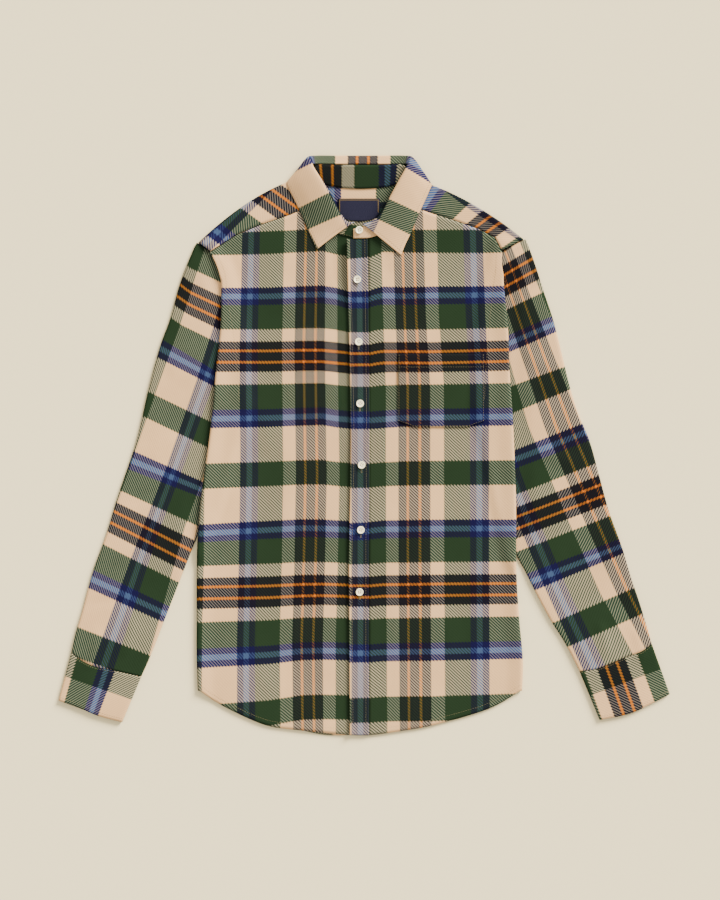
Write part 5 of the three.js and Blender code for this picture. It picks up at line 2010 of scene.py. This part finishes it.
@dataclass
class Buttons:
    """The six front buttons and the collar button."""

    body: Body
    moulded: bpy.types.Material
    thread: bpy.types.Material
    turn: float = 0.35
    collar_turn: float = 0.2
    loop: float = 0.7  # of thread past both holes
    loop_gap: float = 0.1
    loop_reach: float = 0.4
    loop_radius: float = 0.3

    def build(self) -> None:
        """Makes and places all of them."""
        pattern = Button()
        first = pattern.disc("button_pattern")
        first.data.materials.append(self.moulded)
        self.sew_on(first, pattern)
        base = first.data
        for k, spot in enumerate(BUTTON_SPOTS):
            z = float(self.body.front_mid(np.array(spot.x), np.array(spot.y))) + LAP + HALF + SEAM_GAP
            self.place(base, f"button_{k + 1}", (spot.x, spot.y, z), 0.0, self.turn * k)
        x, y, z, tilt = COLLAR_BUTTON
        self.place(base, "button_collar", (x, y, z), tilt, self.collar_turn)
        bpy.data.objects.remove(first)

    def sew_on(self, disc: bpy.types.Object, pattern: Button) -> None:
        """Adds the thread through the holes."""
        stitch = 2 * pattern.hole_offset + self.loop
        sewing = Thread3D(stitch=stitch, gap=self.loop_gap, radius=self.loop_radius)
        z = pattern.height - pattern.dish + self.loop_gap
        reach_x = pattern.hole_offset + self.loop_reach
        vertices, faces, base = [], [], 0
        for y in (-pattern.hole_offset, pattern.hole_offset):
            path = np.array([(-reach_x, y, z), (reach_x, y, z)])
            points, quads = sewing.row(path)
            vertices.append(points)
            faces += [tuple(base + k for k in face) for face in quads]
            base += len(points)
        made = mesh_object("button_thread", np.vstack(vertices), faces)
        made.data.materials.append(self.thread)
        bpy.ops.object.select_all(action="DESELECT")
        made.select_set(True)
        disc.select_set(True)
        bpy.context.view_layer.objects.active = disc
        bpy.ops.object.join()

    def place(self, base: bpy.types.Mesh, node: str, at: tuple[float, float, float], tilt: float,
              turn: float) -> None:
        """Puts a copy of the button on its spot."""
        mesh = base.copy()
        made = bpy.data.objects.new(node + "_sewn", mesh)
        bpy.context.scene.collection.objects.link(made)
        shift = Matrix.Translation([c * MM for c in at])
        mesh.transform(shift @ Matrix.Rotation(tilt, 4, "X") @ Matrix.Rotation(turn, 4, "Z"))
        dress(made, node)


@dataclass
class Sewing:
    """The rows of stitching that show, and the buttonholes."""

    body: Body
    thread: bpy.types.Material
    lift: float = 0.58
    collar_inset: float = 5.0
    band_inset: float = 4.5
    edge_inset: float = 1.6
    second_row: float = 6.5
    hem_inset: float = 8.0
    pocket_hem: float = 18.0
    cuff_inset: float = 5.0
    armhole_inset: float = 7.0
    armhole_points: int = 60
    armhole_ends: float = 4.0
    buttonhole: float = 14.0
    buttonhole_above: float = 3.0
    buttonhole_half: float = 0.6
    buttonhole_points: int = 9

    def build(self, patches: dict[str, Patch]) -> None:
        """Sews all the rows, each set as one piece that rides on the shirt."""
        sewing = Thread3D()
        for name, rows in self.rows(patches).items():
            self.lay(sewing.sew(f"stitches_{name}", rows, self.thread))
        close = Thread3D(stitch=1.0, gap=0.15, radius=0.32)
        self.lay(close.sew("stitches_buttonholes", self.buttonholes(), self.thread))

    @staticmethod
    def lay(piece: bpy.types.Object) -> None:
        """Lets a piece of sewing ride on the shirt."""
        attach(piece, "root")

    def rows(self, patches: dict[str, Patch]) -> dict[str, list[Array]]:
        """The lines that the stitches follow, by the name of their part."""
        leaf, band, pocket = patches["collar_leaf"], patches["placket"], patches["pocket"]
        yoke, stand = patches["yoke"], patches["collar_stand"]
        edges = (Edge.FIRST_ROW, Edge.LAST_ROW, Edge.LAST_COLUMN)
        rows = {
            "collar": [leaf.inset(edge, self.collar_inset, self.lift) for edge in edges],
            "stand": [stand.inset(Edge.FIRST_COLUMN, self.edge_inset, self.lift)],
            "placket": [
                band.inset(edge, self.band_inset, self.lift)
                for edge in (Edge.FIRST_COLUMN, Edge.LAST_COLUMN)
            ],
            "pocket": [
                pocket.inset(edge, self.edge_inset, self.lift)
                for edge in (Edge.FIRST_ROW, Edge.FIRST_COLUMN, Edge.LAST_COLUMN)
            ] + [pocket.inset(Edge.LAST_ROW, self.pocket_hem, self.lift)],
            "yoke": [
                yoke.inset(edge, distance, self.lift)
                for edge in (Edge.FIRST_ROW, Edge.LAST_ROW)
                for distance in (self.edge_inset, self.second_row)
            ],
            "armholes": [self.armhole(side) for side in Side],
        }
        for side in Side:
            front, cuff = patches[f"front_{side.word}"], patches[f"cuff_{side.word}"]
            hem = front.inset(Edge.FIRST_ROW, self.hem_inset, self.lift)
            rows[f"hem_{side.word}"] = [hem[: np.argmax(np.abs(hem[:, 0]))]]
            half = slice(2, cuff.points.shape[1] // 2 - 1)
            lines = (cuff.inset(Edge.LAST_ROW, self.cuff_inset, self.lift),
                     cuff.inset(Edge.FIRST_ROW, self.edge_inset, self.lift))
            rows[f"cuff_{side.word}"] = [line[half] for line in lines]
        return rows

    def armhole(self, side: Side) -> Array:
        """The row beside an armhole, on the front."""
        low, high = ARMHOLE[side][-1].y + self.armhole_ends, ARMHOLE[side][1].y - self.armhole_ends
        y = np.linspace(low, high, self.armhole_points)
        x = self.body.armhole(side, y)
        fold = np.abs(self.body.side_fold(side, y))
        x = side.value * (np.minimum(np.abs(x) + self.body.yoke_tuck, fold) - self.armhole_inset)
        return np.column_stack([x, y, self.body.front_mid(x, y) + self.lift])

    def buttonholes(self) -> list[Array]:
        """Both sides of each buttonhole, upright in the band and half under its button."""
        rows = []
        for spot in BUTTON_SPOTS:
            down = np.linspace(0, self.buttonhole, self.buttonhole_points)
            y = spot.y + self.buttonhole_above - down
            for shift in (-self.buttonhole_half, self.buttonhole_half):
                x = np.full(len(y), spot.x + shift)
                rows.append(np.column_stack([x, y, self.body.front_mid(x, y) + LAP + self.lift]))
        return rows


def main() -> None:
    """Builds the shirt piece by piece and sets it in the studio."""
    logging.basicConfig(level=logging.INFO, format="%(name)s: %(message)s")
    check = Check().group()
    flannel = Flannel().material(check)
    thread = Plain("sewing thread", "#7c745f", 0.8, mottle=0.2).material()
    button_thread = Plain("button thread", "#b9ad98", 0.8, mottle=0.2).material()
    moulded = Plain("moulded button", "#efece4", 0.32, mottle=0.05, coat=0.3).material()
    tailor = Tailor()
    body = Body()
    yoke, trim, collar = Yoke(body), Trim(body), Collar()
    patches = {
        "back": body.back(BACK_LAY),
        "front_right": body.front(Side.RIGHT, FRONT_LAY[Side.RIGHT]),
        "front_left": body.front(Side.LEFT, FRONT_LAY[Side.LEFT]),
        "yoke": yoke.patch(YOKE_LAY, YOKE_BACK_LAY),
        "placket": trim.band(PLACKET_LAY),
        "pocket": trim.pocket(FRONT_LAY[Side.LEFT]),
        "collar_stand": collar.stand(),
        "collar_leaf": collar.leaf(LEAF_LAY),
    }
    for side in Side:
        sleeve = Sleeve(side, body, Relief(SLEEVE_CREASES[side], swell=0.5, seed=1.3 * side.value))
        patches[f"sleeve_{side.word}"] = sleeve.sleeve(SLEEVE_LAY[side])
        patches[f"cuff_{side.word}"] = sleeve.cuff(CUFF_LAY[side])
    for node, patch in patches.items():
        dress(tailor.sew(node + "_cloth", patch, flannel), node)
    tape = tailor.sew("label_tape", collar.label(), LabelTape().material())
    dress(tape, "label")
    Buttons(body, moulded, button_thread).build()
    Sewing(body, thread).build(patches)
    Studio().build()


if __name__ == "__main__":
    main()
